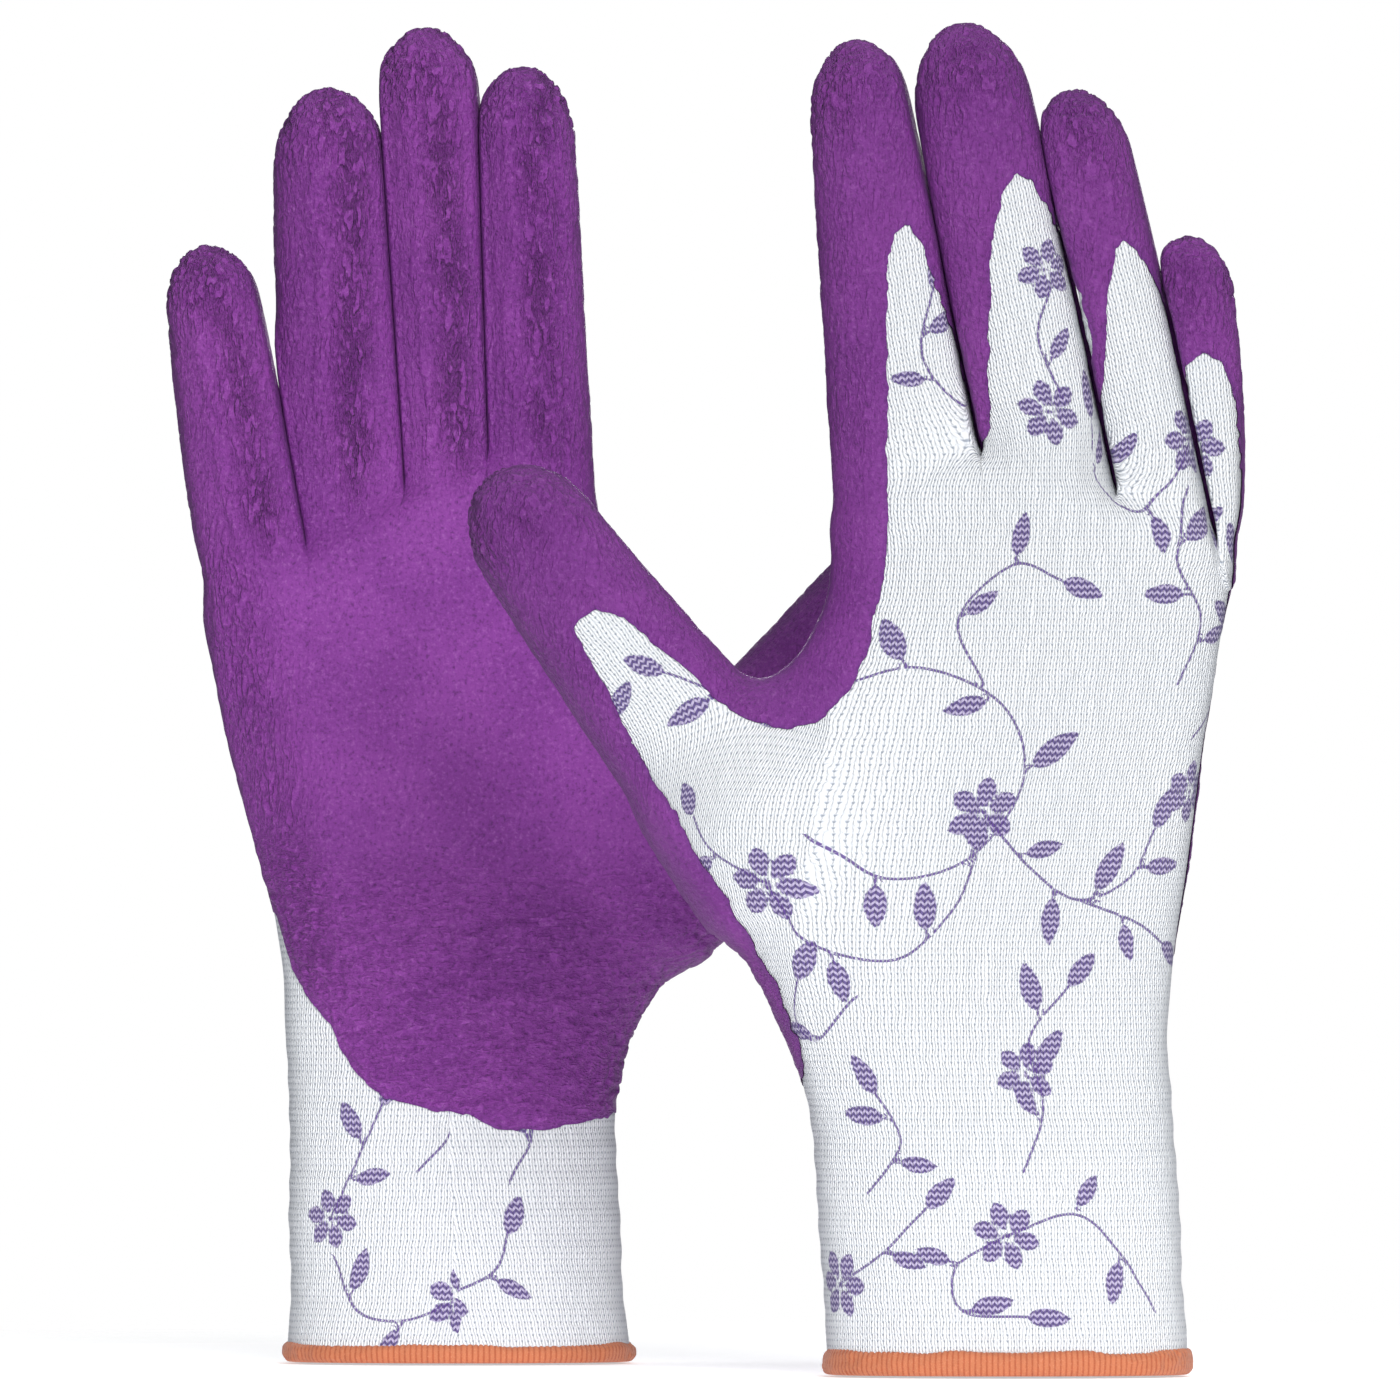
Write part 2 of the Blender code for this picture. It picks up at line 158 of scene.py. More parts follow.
def unit(vectors):
    return vectors / np.maximum(np.linalg.norm(vectors, axis=1), 1e-12)[:, None]


def lattice_value(x, y, z, seed):
    n = (x * 73856093) ^ (y * 19349663) ^ (z * 83492791) ^ (seed * 2654435761 & 0x7fffffff)
    n = (n ^ (n >> 13)) * 1274126177 & 0x7fffffff
    n = (n ^ (n >> 16)) * 2246822519 & 0x7fffffff
    return ((n ^ (n >> 11)) & 0xffff) / 32767.5 - 1.0


def noise(points, seed):
    """Smooth value noise, about -1 to 1, of points (n, 3)."""
    cell = np.floor(points).astype(np.int64)
    share = points - cell
    share = share * share * (3 - 2 * share)
    total = 0.0
    for corner in product((0, 1), repeat=3):
        weight = np.where(corner, share, 1 - share).prod(1)
        total = total + weight * lattice_value(*(cell + corner).T, seed)
    return total


def ridged(points, seed):
    """Sharp valleys: 1 along them, 0 away."""
    return np.clip(1 - np.abs(noise(points, seed)) * 3.2, 0, 1)


def section_distance(ratios, sizes, power, least_slope, limits):
    """About the distance to a superellipse; the ratios are offsets over its half sizes."""
    level = np.maximum(sum(ratio ** power for ratio in ratios) ** (1 / power), 0.05)
    slope = level ** (1 - power) * np.sqrt(
        sum((ratio ** (power - 1) / size) ** 2 for ratio, size in zip(ratios, sizes)))
    return np.clip((level - 1) / np.maximum(slope, least_slope), *limits)


def polygon_distance(x, z, outline):
    """Signed distance to a closed polygon, positive inside."""
    corners = np.array(outline, float)
    best = np.full(x.shape, 1e9)
    inside = np.zeros(x.shape, bool)
    for (ax, az), (bx, bz) in zip(corners, np.roll(corners, -1, axis=0)):
        run, rise = bx - ax, bz - az
        dx, dz = x - ax, z - az
        t = np.clip((dx * run + dz * rise) / max(run * run + rise * rise, 1e-9), 0, 1)
        best = np.minimum(best, (dx - run * t) ** 2 + (dz - rise * t) ** 2)
        crosses = (az > z) != (bz > z)
        inside ^= crosses & (x < ax + dz * run / (rise if rise != 0 else 1e-9))
    distance = np.sqrt(best)
    return np.where(inside, distance, -distance)


# ------------------------------------------------------------------ shape of a glove
class Finger:
    """A tapered finger: `along` runs up its middle line, `across` towards +x."""

    def __init__(self, name, row):
        (self.x0, self.z0), tip, *sizes, self.y = row
        self.root_width, self.tip_width, self.root_depth, self.tip_depth = sizes
        self.name = name
        run, rise = tip[0] - self.x0, tip[1] - self.z0
        self.length = math.hypot(run, rise)
        self.ux, self.uz = run / self.length, rise / self.length

    def along_across(self, x, z):
        dx, dz = x - self.x0, z - self.z0
        return dx * self.ux + dz * self.uz, dx * self.uz - dz * self.ux

    def at(self, along, across=0.0):
        """x and z of a place on the finger."""
        return (self.x0 + self.ux * along + self.uz * across,
                self.z0 + self.uz * along - self.ux * across)

    def half_sizes(self, along):
        t = np.clip(along / self.length, -0.25, 1)
        width = self.root_width + (self.tip_width - self.root_width) * t
        depth = self.root_depth + (self.tip_depth - self.root_depth) * t
        return width / 2 - COAT_OFF, depth / 2 - COAT_OFF

    def field(self, x, y, z):
        along, across = self.along_across(x, z)
        half_width, half_depth = self.half_sizes(along)
        cap = (self.tip_width / 2 - COAT_OFF) * (1.35 if self.name == "thumb" else 1.7)
        cap_start = self.length - COAT_OFF - cap
        beyond = np.maximum(along - cap_start, 0) / cap + np.maximum(-24 - along, 0) / 8
        ratios = np.abs(across) / half_width, np.abs(y - self.y) / half_depth, beyond
        return section_distance(ratios, (half_width, half_depth, cap),
                                power=SHAFT - 0.2 * np.clip(beyond, 0, 1),
                                least_slope=0.02, limits=(-12, 30))


class Glove:
    def __init__(self, side):
        self.side, self.data = side, GLOVES[side]
        joint = JOINTS[side + "_wrist_bend"]
        turn = 1.0 if joint["axis"][0] > 0 else -1.0
        self.turning = np.array([turn, turn, 1.0])
        self.origin = np.array([joint["pos_m"][0] * 1000, joint["pos_m"][1] * 1000, 0.0])
        self.digits = {name: Finger(name, self.data["digits"][name]) for name in DIGITS}
        # the tube's rows, smoothed so that no section height shows
        self.heights = np.arange(-30, 215, 1.0)
        rows = np.array(self.data["tube"], float)
        kernel = np.exp(-0.5 * (np.arange(-12, 13) / 4.0) ** 2)
        kernel /= kernel.sum()
        self.columns = []
        for k in range(1, 5):
            column = np.interp(self.heights, rows[:, 0], rows[:, k])
            self.columns.append(
                np.convolve(np.pad(column, 12, mode="edge"), kernel, mode="valid"))
        # where neighbouring fingers meet: x = base + slope * z + LEAN * y
        self.gaps = []
        for (z1, x1), (z2, x2) in self.data["gaps"]:
            slope = (x2 - x1) / (z2 - z1)
            self.gaps.append((x1 - slope * z1, slope))

    def tube_at(self, z):
        """Left x, right x, depth and middle y of the hand at a height."""
        return [np.interp(z, self.heights, column) for column in self.columns]

    def gap_x(self, k, y, z):
        base, slope = self.gaps[k]
        return base + slope * z + LEAN * y

    def to_world(self, points):
        """Still in mm."""
        return self.origin + points * self.turning

    def unspread(self, wide_x, y, z):
        """Real x of a point of the spread-finger space."""
        x = wide_x + 1.5 * SPREAD
        for k in range(3):
            start = self.gap_x(k, y, z) - GAP / 2 + (k - 1.5) * SPREAD
            x = x - SPREAD * np.clip((wide_x - start) / (SPREAD + GAP), 0, 1)
        return wide_x + (x - wide_x) * smoothstep(z, 118, 144)

    def strip(self, x, y, z, spread):
        """Which finger's strip a point is in, 0 to 3, with the gaps opened by `spread`."""
        number = np.zeros(np.broadcast(x, y, z).shape, int)
        for k in range(3):
            number += x > self.gap_x(k, y, z) + (k - 1) * spread
        return number

    def field(self, wide_x, y, z):
        """About the distance to the knit's outside in spread-finger space, negative inside."""
        x = self.unspread(wide_x, y, z)
        left, right, depth, middle_y = self.tube_at(z)
        inset = 0.5 + 0.4 * smoothstep(z, 38, 58)
        sizes = (right - left) / 2 - inset, depth / 2 - inset
        ratios = np.abs(x - (left + right) / 2) / sizes[0], np.abs(y - middle_y) / sizes[1]
        distance = section_distance(ratios, sizes, TUBE, least_slope=0.01, limits=(-14, 40))
        top = np.interp(x, *zip(*self.data["tops"]))
        distance = smax(distance, (z - top) * 0.9, 5.0)
        distance = smin(distance, self.digits["thumb"].field(x, y, z), 11.0)
        for i, name in enumerate(FINGERS):
            finger = self.digits[name]
            finger_x = wide_x - (i - 1.5) * SPREAD
            one = finger.field(finger_x, y, z)
            if i == 0:
                side = left + COAT_OFF + 1.8 * (1 - smoothstep(z, 142, 162))
                one = smax(one, side - finger_x, 3.0)
            if i > 0:
                wall = self.gap_x(i - 1, y, z) + GAP / 2 - finger_x
                one = smax(one, wall / math.hypot(1, self.gaps[i - 1][1]), 1.1)
            if i < 3:
                wall = finger_x - (self.gap_x(i, y, z) - GAP / 2)
                one = smax(one, wall / math.hypot(1, self.gaps[i][1]), 1.1)
            # the finger fades out below its root, inside the hand
            one = one + 4.2 * smoothstep(-finger.along_across(finger_x, z)[0], 11, 26)
            distance = smin(distance, one, 3.6)
        return distance.astype(F32)


# ------------------------------------------------------------------ dual surface of a field
def cells_round(edges, axes, shifts, cell_count):
    """The cells round each grid edge, one per shift, and which of them lie in the grid."""
    for shift in shifts:
        cell = edges.copy()
        for axis, amount in zip(axes, shift):
            cell[:, axis] += amount
        yield cell, ((cell >= 0) & (cell < cell_count)).all(1)


def surface_net(glove):
    size = np.ceil((GRID_HIGH - GRID_LOW) / STEP).astype(int) + 1
    cell_count = size - 1
    xs, ys, zs = (GRID_LOW[i] + STEP * np.arange(size[i]) for i in range(3))
    samples = glove.field(xs[:, None, None], ys[None, :, None], zs[None, None, :])
    # a vertex in each cell that the surface crosses, at the mean of its edge crossings
    sums = np.zeros(tuple(cell_count) + (3,), F32)
    count = np.zeros(tuple(cell_count), np.int16)
    crossings = []
    for axis in range(3):
        start, end = [slice(None)] * 3, [slice(None)] * 3
        start[axis], end[axis] = slice(0, -1), slice(1, None)
        before, after = samples[tuple(start)], samples[tuple(end)]
        hit = np.nonzero((before < 0) != (after < 0))
        before, after = before[hit], after[hit]
        edges = np.stack(hit, 1)
        crossing = edges.astype(F32)
        crossing[:, axis] += before / (before - after)
        crossings.append((axis, edges, before < 0))
        others = [k for k in range(3) if k != axis]
        for cell, valid in cells_round(edges, others, product((0, -1), repeat=2), cell_count):
            place = tuple(cell[valid].T)
            np.add.at(sums, place, crossing[valid])
            np.add.at(count, place, 1)
    cells = np.nonzero(count)
    index = -np.ones(tuple(cell_count), np.int64)
    index[cells] = np.arange(len(cells[0]))
    points = GRID_LOW + sums[cells] / count[cells][:, None] * STEP
    # a quad round each crossed edge
    quads = []
    for axis, edges, starts_inside in crossings:
        others = (axis + 1) % 3, (axis + 2) % 3
        ring = ((0, 0), (-1, 0), (-1, -1), (0, -1))
        corners, valid = zip(*cells_round(edges, others, ring, cell_count))
        valid = np.all(valid, 0)
        quad = np.stack([index[tuple(cell[valid].T)] for cell in corners], 1)
        flip = ~starts_inside[valid]
        quad[flip] = quad[flip][:, ::-1]
        quads.append(quad)
    quads = np.concatenate(quads)
    quads = quads[(quads >= 0).all(1)]
    # two Newton steps on to the surface
    probe = 0.15
    for _ in range(2):
        value = glove.field(*points.T).astype(float)
        slope = np.stack([glove.field(*(points + probe * axis).T) - value
                          for axis in np.eye(3)], 1) / probe
        move = np.clip(value / np.maximum((slope ** 2).sum(1), 0.2), -0.5, 0.5)
        points = points - move[:, None] * slope
    return points, quads


def vertex_normals(points, *face_sets):
    """Area-weighted normals of quads and triangles."""
    normals = np.zeros_like(points)
    for faces in face_sets:
        sides = faces.shape[1]
        one = points[faces[:, 2]] - points[faces[:, 0]]
        other = points[faces[:, 3 % sides]] - points[faces[:, 1]]
        face_normals = np.cross(one, other)
        for k in range(sides):
            np.add.at(normals, faces[:, k], face_normals)
    return unit(normals)


# ------------------------------------------------------------------ coat edge
# x, z outline of the knit left bare on the back of the front glove
FRONT_BARE = [
    (-120, -40), (-120, 144), (-43.9, 144), (-43.4, 150), (-43.3, 160), (-42.9, 171), (-42, 179),
    (-41, 183.7), (-39.4, 187.4), (-36.2, 189.5), (-34.6, 188.4), (-33.4, 186), (-33.3, 182),
    (-33.4, 178), (-33.2, 180), (-32.6, 185), (-31.7, 190.8), (-30.2, 195.6), (-28.2, 199.9),
    (-25.9, 204.6), (-23.3, 208.8), (-21.5, 210.1), (-20.2, 208.3), (-19.4, 203),
    (-18.7, 197.7), (-18.3, 189.7), (-17.6, 181.6), (-17.2, 178), (-16.6, 183.3),
    (-15.3, 193.4), (-13.7, 198.8), (-11.6, 205), (-9.4, 211), (-7.3, 216), (-4.1, 221),
    (-1.7, 222.8), (0.7, 219.6), (1.8, 214.2), (2.6, 208.3), (3.1, 200.3), (3.3, 192),
    (3.3, 181.6), (3.2, 175.2), (4.6, 171.5), (5.7, 175), (7.2, 182), (9.1, 188), (11.5, 195),
    (13.6, 203), (15.8, 208.8), (18.6, 213.5), (20.7, 211), (22.1, 206), (22.1, 150),
    (23.6, 142.9), (25.9, 134.3), (28.5, 126.9), (32.2, 123.1), (35.4, 120.7), (40.8, 119.2),
    (45.6, 120), (49.9, 122), (55.3, 126.1), (59.6, 130.6), (65.9, 136), (71.3, 140.3),
    (76.1, 142.1), (80.4, 138.6), (77.6, 133.8), (73.4, 125.8), (70.2, 118.9), (65.9, 111.4),
    (61.1, 104), (57.3, 96.5), (52.1, 89.1), (48.4, 83.5), (45.6, 77.9), (42.8, 73.2),
    (40, 66.7), (38.1, 61.1), (37.6, 55.5), (39, 50), (120, 44), (120, -40)]

# the rear glove's bare tongue on each finger: apex as a share of the finger, apex across,
# thumb-side edge across at the root, and how fast the thumb-side and other edges open
TONGUES = {"index": (0.56, -6.3, 2.8, 3.5, 22), "middle": (0.64, -5.2, 6.2, 9.0, 12),
           "ring": (0.61, -4.6, 5.0, 9.0, 10), "little": (0.64, 0.0, 4.0, 5.0, 14)}
# (x from the index root, z from the thumb root) between index and thumb
WEB_EDGE = ((3.6, 34), (4.4, 28), (6.7, 20.3), (9.3, 12.9), (12.6, 9.1), (16.6, 6.9), (21.6, 5.2))
# (along, across) round the thumb's tongue
THUMB_EDGE = ((-1.6, -12), (2.6, -9.9), (9, -8.2), (15.3, -7.3), (23.4, -5.6), (30, -3.8),
              (33.6, -1.4), (34.8, 1.6), (33.4, 4.4), (28.7, 5.3), (19.8, 6.6), (12.4, 8.2),
              (3.8, 9.3), (-5, 9.9), (-11, 10.6))
# (z, distance in from the hand's thumb side)
HEEL_EDGE = ((94, 6.6), (86, 5.4), (78, 4.2), (70, 3.2), (62, 2.0), (56, 0.8), (50, -2.0))


def tongue_outline(finger):
    name = finger.name
    share, apex, root, root_opening, outer_opening = TONGUES[name]
    top = finger.length * share
    edge = finger.root_width / 2
    outer = -edge - 2.5
    if name == "little":
        places = [(-2, -edge + 1.2), (top * 0.45, -edge + 1.6), (top * 0.75, -edge + 2.6),
                  (top - 3, apex - 2.6)]
    else:
        places = [(3, outer)]
        for k in (0.35, 0.6, 0.8):
            opened = min(1, (top - top * k) / outer_opening) ** 0.8
            places.append((top * k, apex + (outer - apex) * opened))
        places.append((top - 3.0, apex - 2.0))
    places += [(top, apex), (top - 1.2, apex + 1.2)]
    for k in (0.93, 0.82, 0.66, 0.45, 0.2, 0.0):
        along = top * k
        across = root + (apex - root) * math.exp(-(top - along) / root_opening)
        across = across - 3.0 * k if name == "index" else min(across, edge + 2.5)
        places.append((along, across))
    if name != "index":
        places.append((0 if name == "little" else -3, edge + 3.0 if name == "ring" else root + 1.5))
    return [finger.at(*place) for place in places]


def rear_bare(glove):
    """x, z outline of the knit left bare on the back of the rear glove."""
    outline = [(-120, -40), (-120, 128), (glove.tube_at(140.0)[0] - 1.0, 138)]
    for name in FINGERS:
        outline += tongue_outline(glove.digits[name])
    index, thumb = glove.digits["index"], glove.digits["thumb"]
    outline += [(index.x0 + dx, thumb.z0 + dz) for dx, dz in WEB_EDGE]
    outline += [thumb.at(*place) for place in THUMB_EDGE]
    outline += [(float(glove.tube_at(z)[1]) - inset, z) for z, inset in HEEL_EDGE]
    return outline + [(120, 44), (120, -40)]


def coat_value(glove, points):
    """Positive where the latex coat lies, in mm from its edge."""
    x, y, z = points.T
    palm = (z - np.interp(x, *zip(*glove.data["coat_low"]))) * 0.85
    outline = FRONT_BARE if glove.side == "front" else rear_bare(glove)
    back = -polygon_distance(x, z, outline)
    # below the coat, the bare back reaches round the little finger's side of the hand
    divide = 0.5 - 3.4 * smoothstep(-x, 20, 32) * smoothstep(z, 147, 138)
    value = np.maximum.reduce([smin(palm, divide - y, 5.0), np.minimum(back, y - divide),
                               np.minimum(palm, back)])
    wobble = (0.55 * noise(points / 5.0, 31) + 0.35 * noise(points / 1.6, 32)
              + 0.22 * noise(points / 0.9, 33))
    return value + wobble


# ------------------------------------------------------------------ knit coordinates
ARC_STEPS = 240
ASPECTS = np.linspace(0.15, 1.3, 24)  # depth over width of the tabled sections


def arc_table():
    """Arc length round superellipses of unit half width, a row for each aspect."""
    angle = np.linspace(0, 2 * np.pi, ARC_STEPS + 1)
    x, y = signed_power(np.cos(angle), 2 / TUBE), signed_power(np.sin(angle), 2 / TUBE)
    return np.array([np.concatenate([[0], np.cumsum(np.hypot(np.diff(x), np.diff(aspect * y)))])
                     for aspect in ASPECTS])


ARCS = arc_table()


def arc_length(dx, dy, half_width, half_depth):
    """Signed arc from the middle of a section's back (+y) towards +x, and its girth, mm."""
    angle = np.arctan2(signed_power(dy / half_depth, TUBE / 2),
                       signed_power(dx / half_width, TUBE / 2))
    angle = np.mod(angle, 2 * np.pi)
    aspect_step = ASPECTS[1] - ASPECTS[0]
    place = np.clip((half_depth / half_width - ASPECTS[0]) / aspect_step,
                    0, len(ASPECTS) - 1.001)
    row = place.astype(int)
    next_row = np.minimum(row + 1, len(ASPECTS) - 1)
    row_share = place - row
    turned = angle / (2 * np.pi) * ARC_STEPS
    j = np.minimum(turned.astype(int), ARC_STEPS - 1)
    share = turned - j

    def look(rows):
        return ARCS[rows, j] * (1 - share) + ARCS[rows, j + 1] * share

    arc = look(row) * (1 - row_share) + look(next_row) * row_share
    fourth = ARC_STEPS // 4
    quarter = ARCS[row, fourth] * (1 - row_share) + ARCS[next_row, fourth] * row_share
    girth = quarter * 4
    u = quarter - arc
    u = np.where(u < -girth / 2, u + girth, u)
    return u * half_width, girth * half_width


def knit_uv(glove, points, strip):
    """u round the hand or finger, v up it, and the girth, mm."""
    x, y, z = points.T
    left, _, depth, middle_y = glove.tube_at(z)
    # the hand's own columns ignore the thumb's bulge above the wrist
    wrist_right = glove.tube_at(46)[1]
    right = np.interp(z, [0, 46, 80, 120, 172],
                      [glove.tube_at(0)[1], wrist_right, wrist_right + 3,
                       glove.tube_at(165)[1], glove.tube_at(170)[1]])
    dx = x - (left + right) / 2
    half_width = np.maximum((right - left) / 2, np.abs(dx) * 0.999)
    u, girth = arc_length(dx, y - middle_y, half_width, depth / 2)
    v = z
    hand_middle = float(sum(glove.tube_at(165)[:2])) / 2
    for i, name in enumerate(DIGITS):
        finger = glove.digits[name]
        along, across = finger.along_across(x, z)
        arc = arc_length(across, y - finger.y, *finger.half_sizes(along))[0]
        if name == "thumb":
            start = 61
            share = smoothstep(along, -14, 20) * (np.abs(across) < 24) * (z < 175)
            share = share * smoothstep(-across, 24, 17)
        else:
            start = finger.x0 - hand_middle
            share = smoothstep(along, -6, 14) * (strip == i)
        u = u * (1 - share) + (arc + start) * share
        v = v * (1 - share) + (finger.z0 + along) * share
    return u, v, girth


# ------------------------------------------------------------------ printed vines
# In knit coordinates, mm: u runs round the hand, 0 at the middle of the back, and v up it.
# Each layout is its flowers (u, v, size, turn) and its stems: the points run through, where
# leaves sit as shares of the stem, side of the first leaf, leaf size, and False where no
# leaf ends the stem.
VINES = dict(
    front=([(35, 91, 6.8, 0.2), (5, 104, 6.6, 0.55), (-31, 172, 5.8, 0.1), (-3, 178, 6, 0.4),
            (-8, 204, 5.6, 0.9), (-38, 108, 5.6, 0.5), (-7, 56, 5.8, 0.7), (-1, 26, 6.2, 0.25),
            (34, 17, 6.4, 0.1)],
           [([(8, 128), (14, 140), (4, 150), (-6, 147)], (0.35, 0.7), 1, 8.5),
            ([(29, 100), (20, 92), (6, 96), (-2, 110), (4, 124), (20, 131), (32, 127)],
             (0.12, 0.3, 0.5, 0.68, 0.86), 1, 9.5),
            ([(35, 91), (46, 97), (52, 104)], (0.5,), -1, 8.5),
            ([(35, 91), (30, 80), (17, 77), (8, 86), (5, 96)], (0.3, 0.62), 1, 9.5, False),
            ([(5, 104), (-6, 94), (-17, 88), (-27, 92), (-31, 101)],
             (0.2, 0.42, 0.62, 0.84), -1, 9),
            ([(-17, 88), (-29, 84), (-36, 80)], (0.45,), 1, 8.5),
            ([(-31, 128), (-34, 140), (-27, 152), (-30, 164)], (0.2, 0.45, 0.7), 1, 8.5, False),
            ([(-31, 172), (-22, 160), (-15, 165), (-13, 176)], (0.35, 0.75), -1, 8.5),
            ([(-6, 180), (-4, 192), (-8, 200)], (0.3,), 1, 8, False),
            ([(15, 178), (19, 189), (15, 200)], (0.25, 0.6), -1, 8),
            ([(-36, 118), (-43, 126), (-45, 138), (-40, 150)], (0.3, 0.6, 0.85), 1, 8.5),
            ([(33, 124), (42, 118), (50, 121), (57, 131)], (0.3, 0.7), 1, 8.5),
            ([(66, 112), (72, 124), (70, 138)], (0.3, 0.65), -1, 8.5),
            ([(24, 70), (32, 62), (36, 66), (33, 73)], (0.4,), 1, 8.5),
            ([(-5, 38), (-10, 50), (-8, 62), (-16, 72)], (0.25, 0.5, 0.78), -1, 8.5),
            ([(25, 34), (18, 43), (22, 52)], (0.35, 0.7), 1, 8.5),
            ([(-1, 26), (9, 20), (8, 12), (-4, 11)], (0.3, 0.6), 1, 8.5),
            ([(-1, 26), (-14, 30), (-22, 24), (-30, 12)], (0.35, 0.65), -1, 8.5, False),
            ([(34, 17), (24, 22), (14, 31)], (0.5,), 1, 8.5)]),
    rear=([(22, 104, 6.6, 0.2), (-25, 128, 6.2, 0.4), (-2, 172, 5.8, 0.6), (4, 64, 6, 0.1),
           (20, 34, 6.2, 0.5), (-22, 20, 6.4, 0.3)],
          [([(10, 122), (16, 136), (6, 147), (-8, 146)], (0.35, 0.7), -1, 8.5),
           ([(22, 104), (10, 94), (-4, 96), (-14, 106), (-10, 120), (2, 127)],
            (0.2, 0.4, 0.6, 0.82), 1, 9.5),
           ([(-25, 128), (-33, 116), (-32, 102), (-40, 92)], (0.3, 0.55, 0.8), -1, 9),
           ([(-25, 128), (-26, 142), (-18, 154), (-20, 168)], (0.3, 0.6), 1, 8.5),
           ([(14, 168), (17, 182), (12, 196)], (0.3, 0.65), 1, 8),
           ([(40, 100), (48, 110), (60, 116), (68, 128)], (0.25, 0.5, 0.75), 1, 8.5),
           ([(4, 64), (-8, 72), (-20, 68), (-26, 76)], (0.4, 0.75), 1, 8.5),
           ([(4, 64), (14, 72), (27, 70)], (0.4, 0.75), -1, 8.5),
           ([(20, 34), (8, 40), (-2, 34), (-10, 42)], (0.35, 0.7), 1, 8.5),
           ([(-22, 20), (-10, 14), (2, 18)], (0.4, 0.8), -1, 8.5),
           ([(28, 10), (36, 18), (34, 28)], (0.4,), 1, 8.5)]))
# repeated round the palm side of the cuff, shifted along u
CUFF_SHIFTS = (-92, 88)
CUFF_VINE = ([(4, 12, 6.2, 0.4), (31, 27, 5.6, 0.2)],
             [([(4, 12), (-8, 17), (-12, 24)], (0.5,), 1, 8.5),
              ([(4, 12), (14, 8), (24, 10), (30, 20)], (0.3, 0.7), -1, 8.5, False),
              ([(31, 27), (26, 38), (22, 48)], (0.3, 0.6), 1, 8.5),
              ([(14, 36), (8, 44), (12, 54)], (0.5,), 1, 8),
              ([(-14, 34), (-20, 44), (-16, 56)], (0.35, 0.7), -1, 8)])


def blade(length, width, start, skew, steps):
    """Pointed outline along +u, from a share of its length to its end."""
    upper = []
    for k in range(steps + 1):
        t = k / steps
        upper.append((start * length + t * (1 - start) * length,
                      width / 2 * math.sin(math.pi * t ** skew) ** 0.8))
    return upper + [(u, -v) for u, v in reversed(upper[1:-1])]


def placed(outline, place, angle):
    cos, sin = math.cos(angle), math.sin(angle)
    return [(place[0] + cos * u - sin * v, place[1] + sin * u + cos * v) for u, v in outline]


def heading(start, end):
    du, dv = end - start
    return math.atan2(dv, du)


def within(u, v, shape, margin):
    """Indices of the points in a shape's bounding box, widened by a margin."""
    low, high = shape.min(0) - margin, shape.max(0) + margin
    return np.nonzero((u > low[0]) & (u < high[0]) & (v > low[1]) & (v < high[1]))[0]


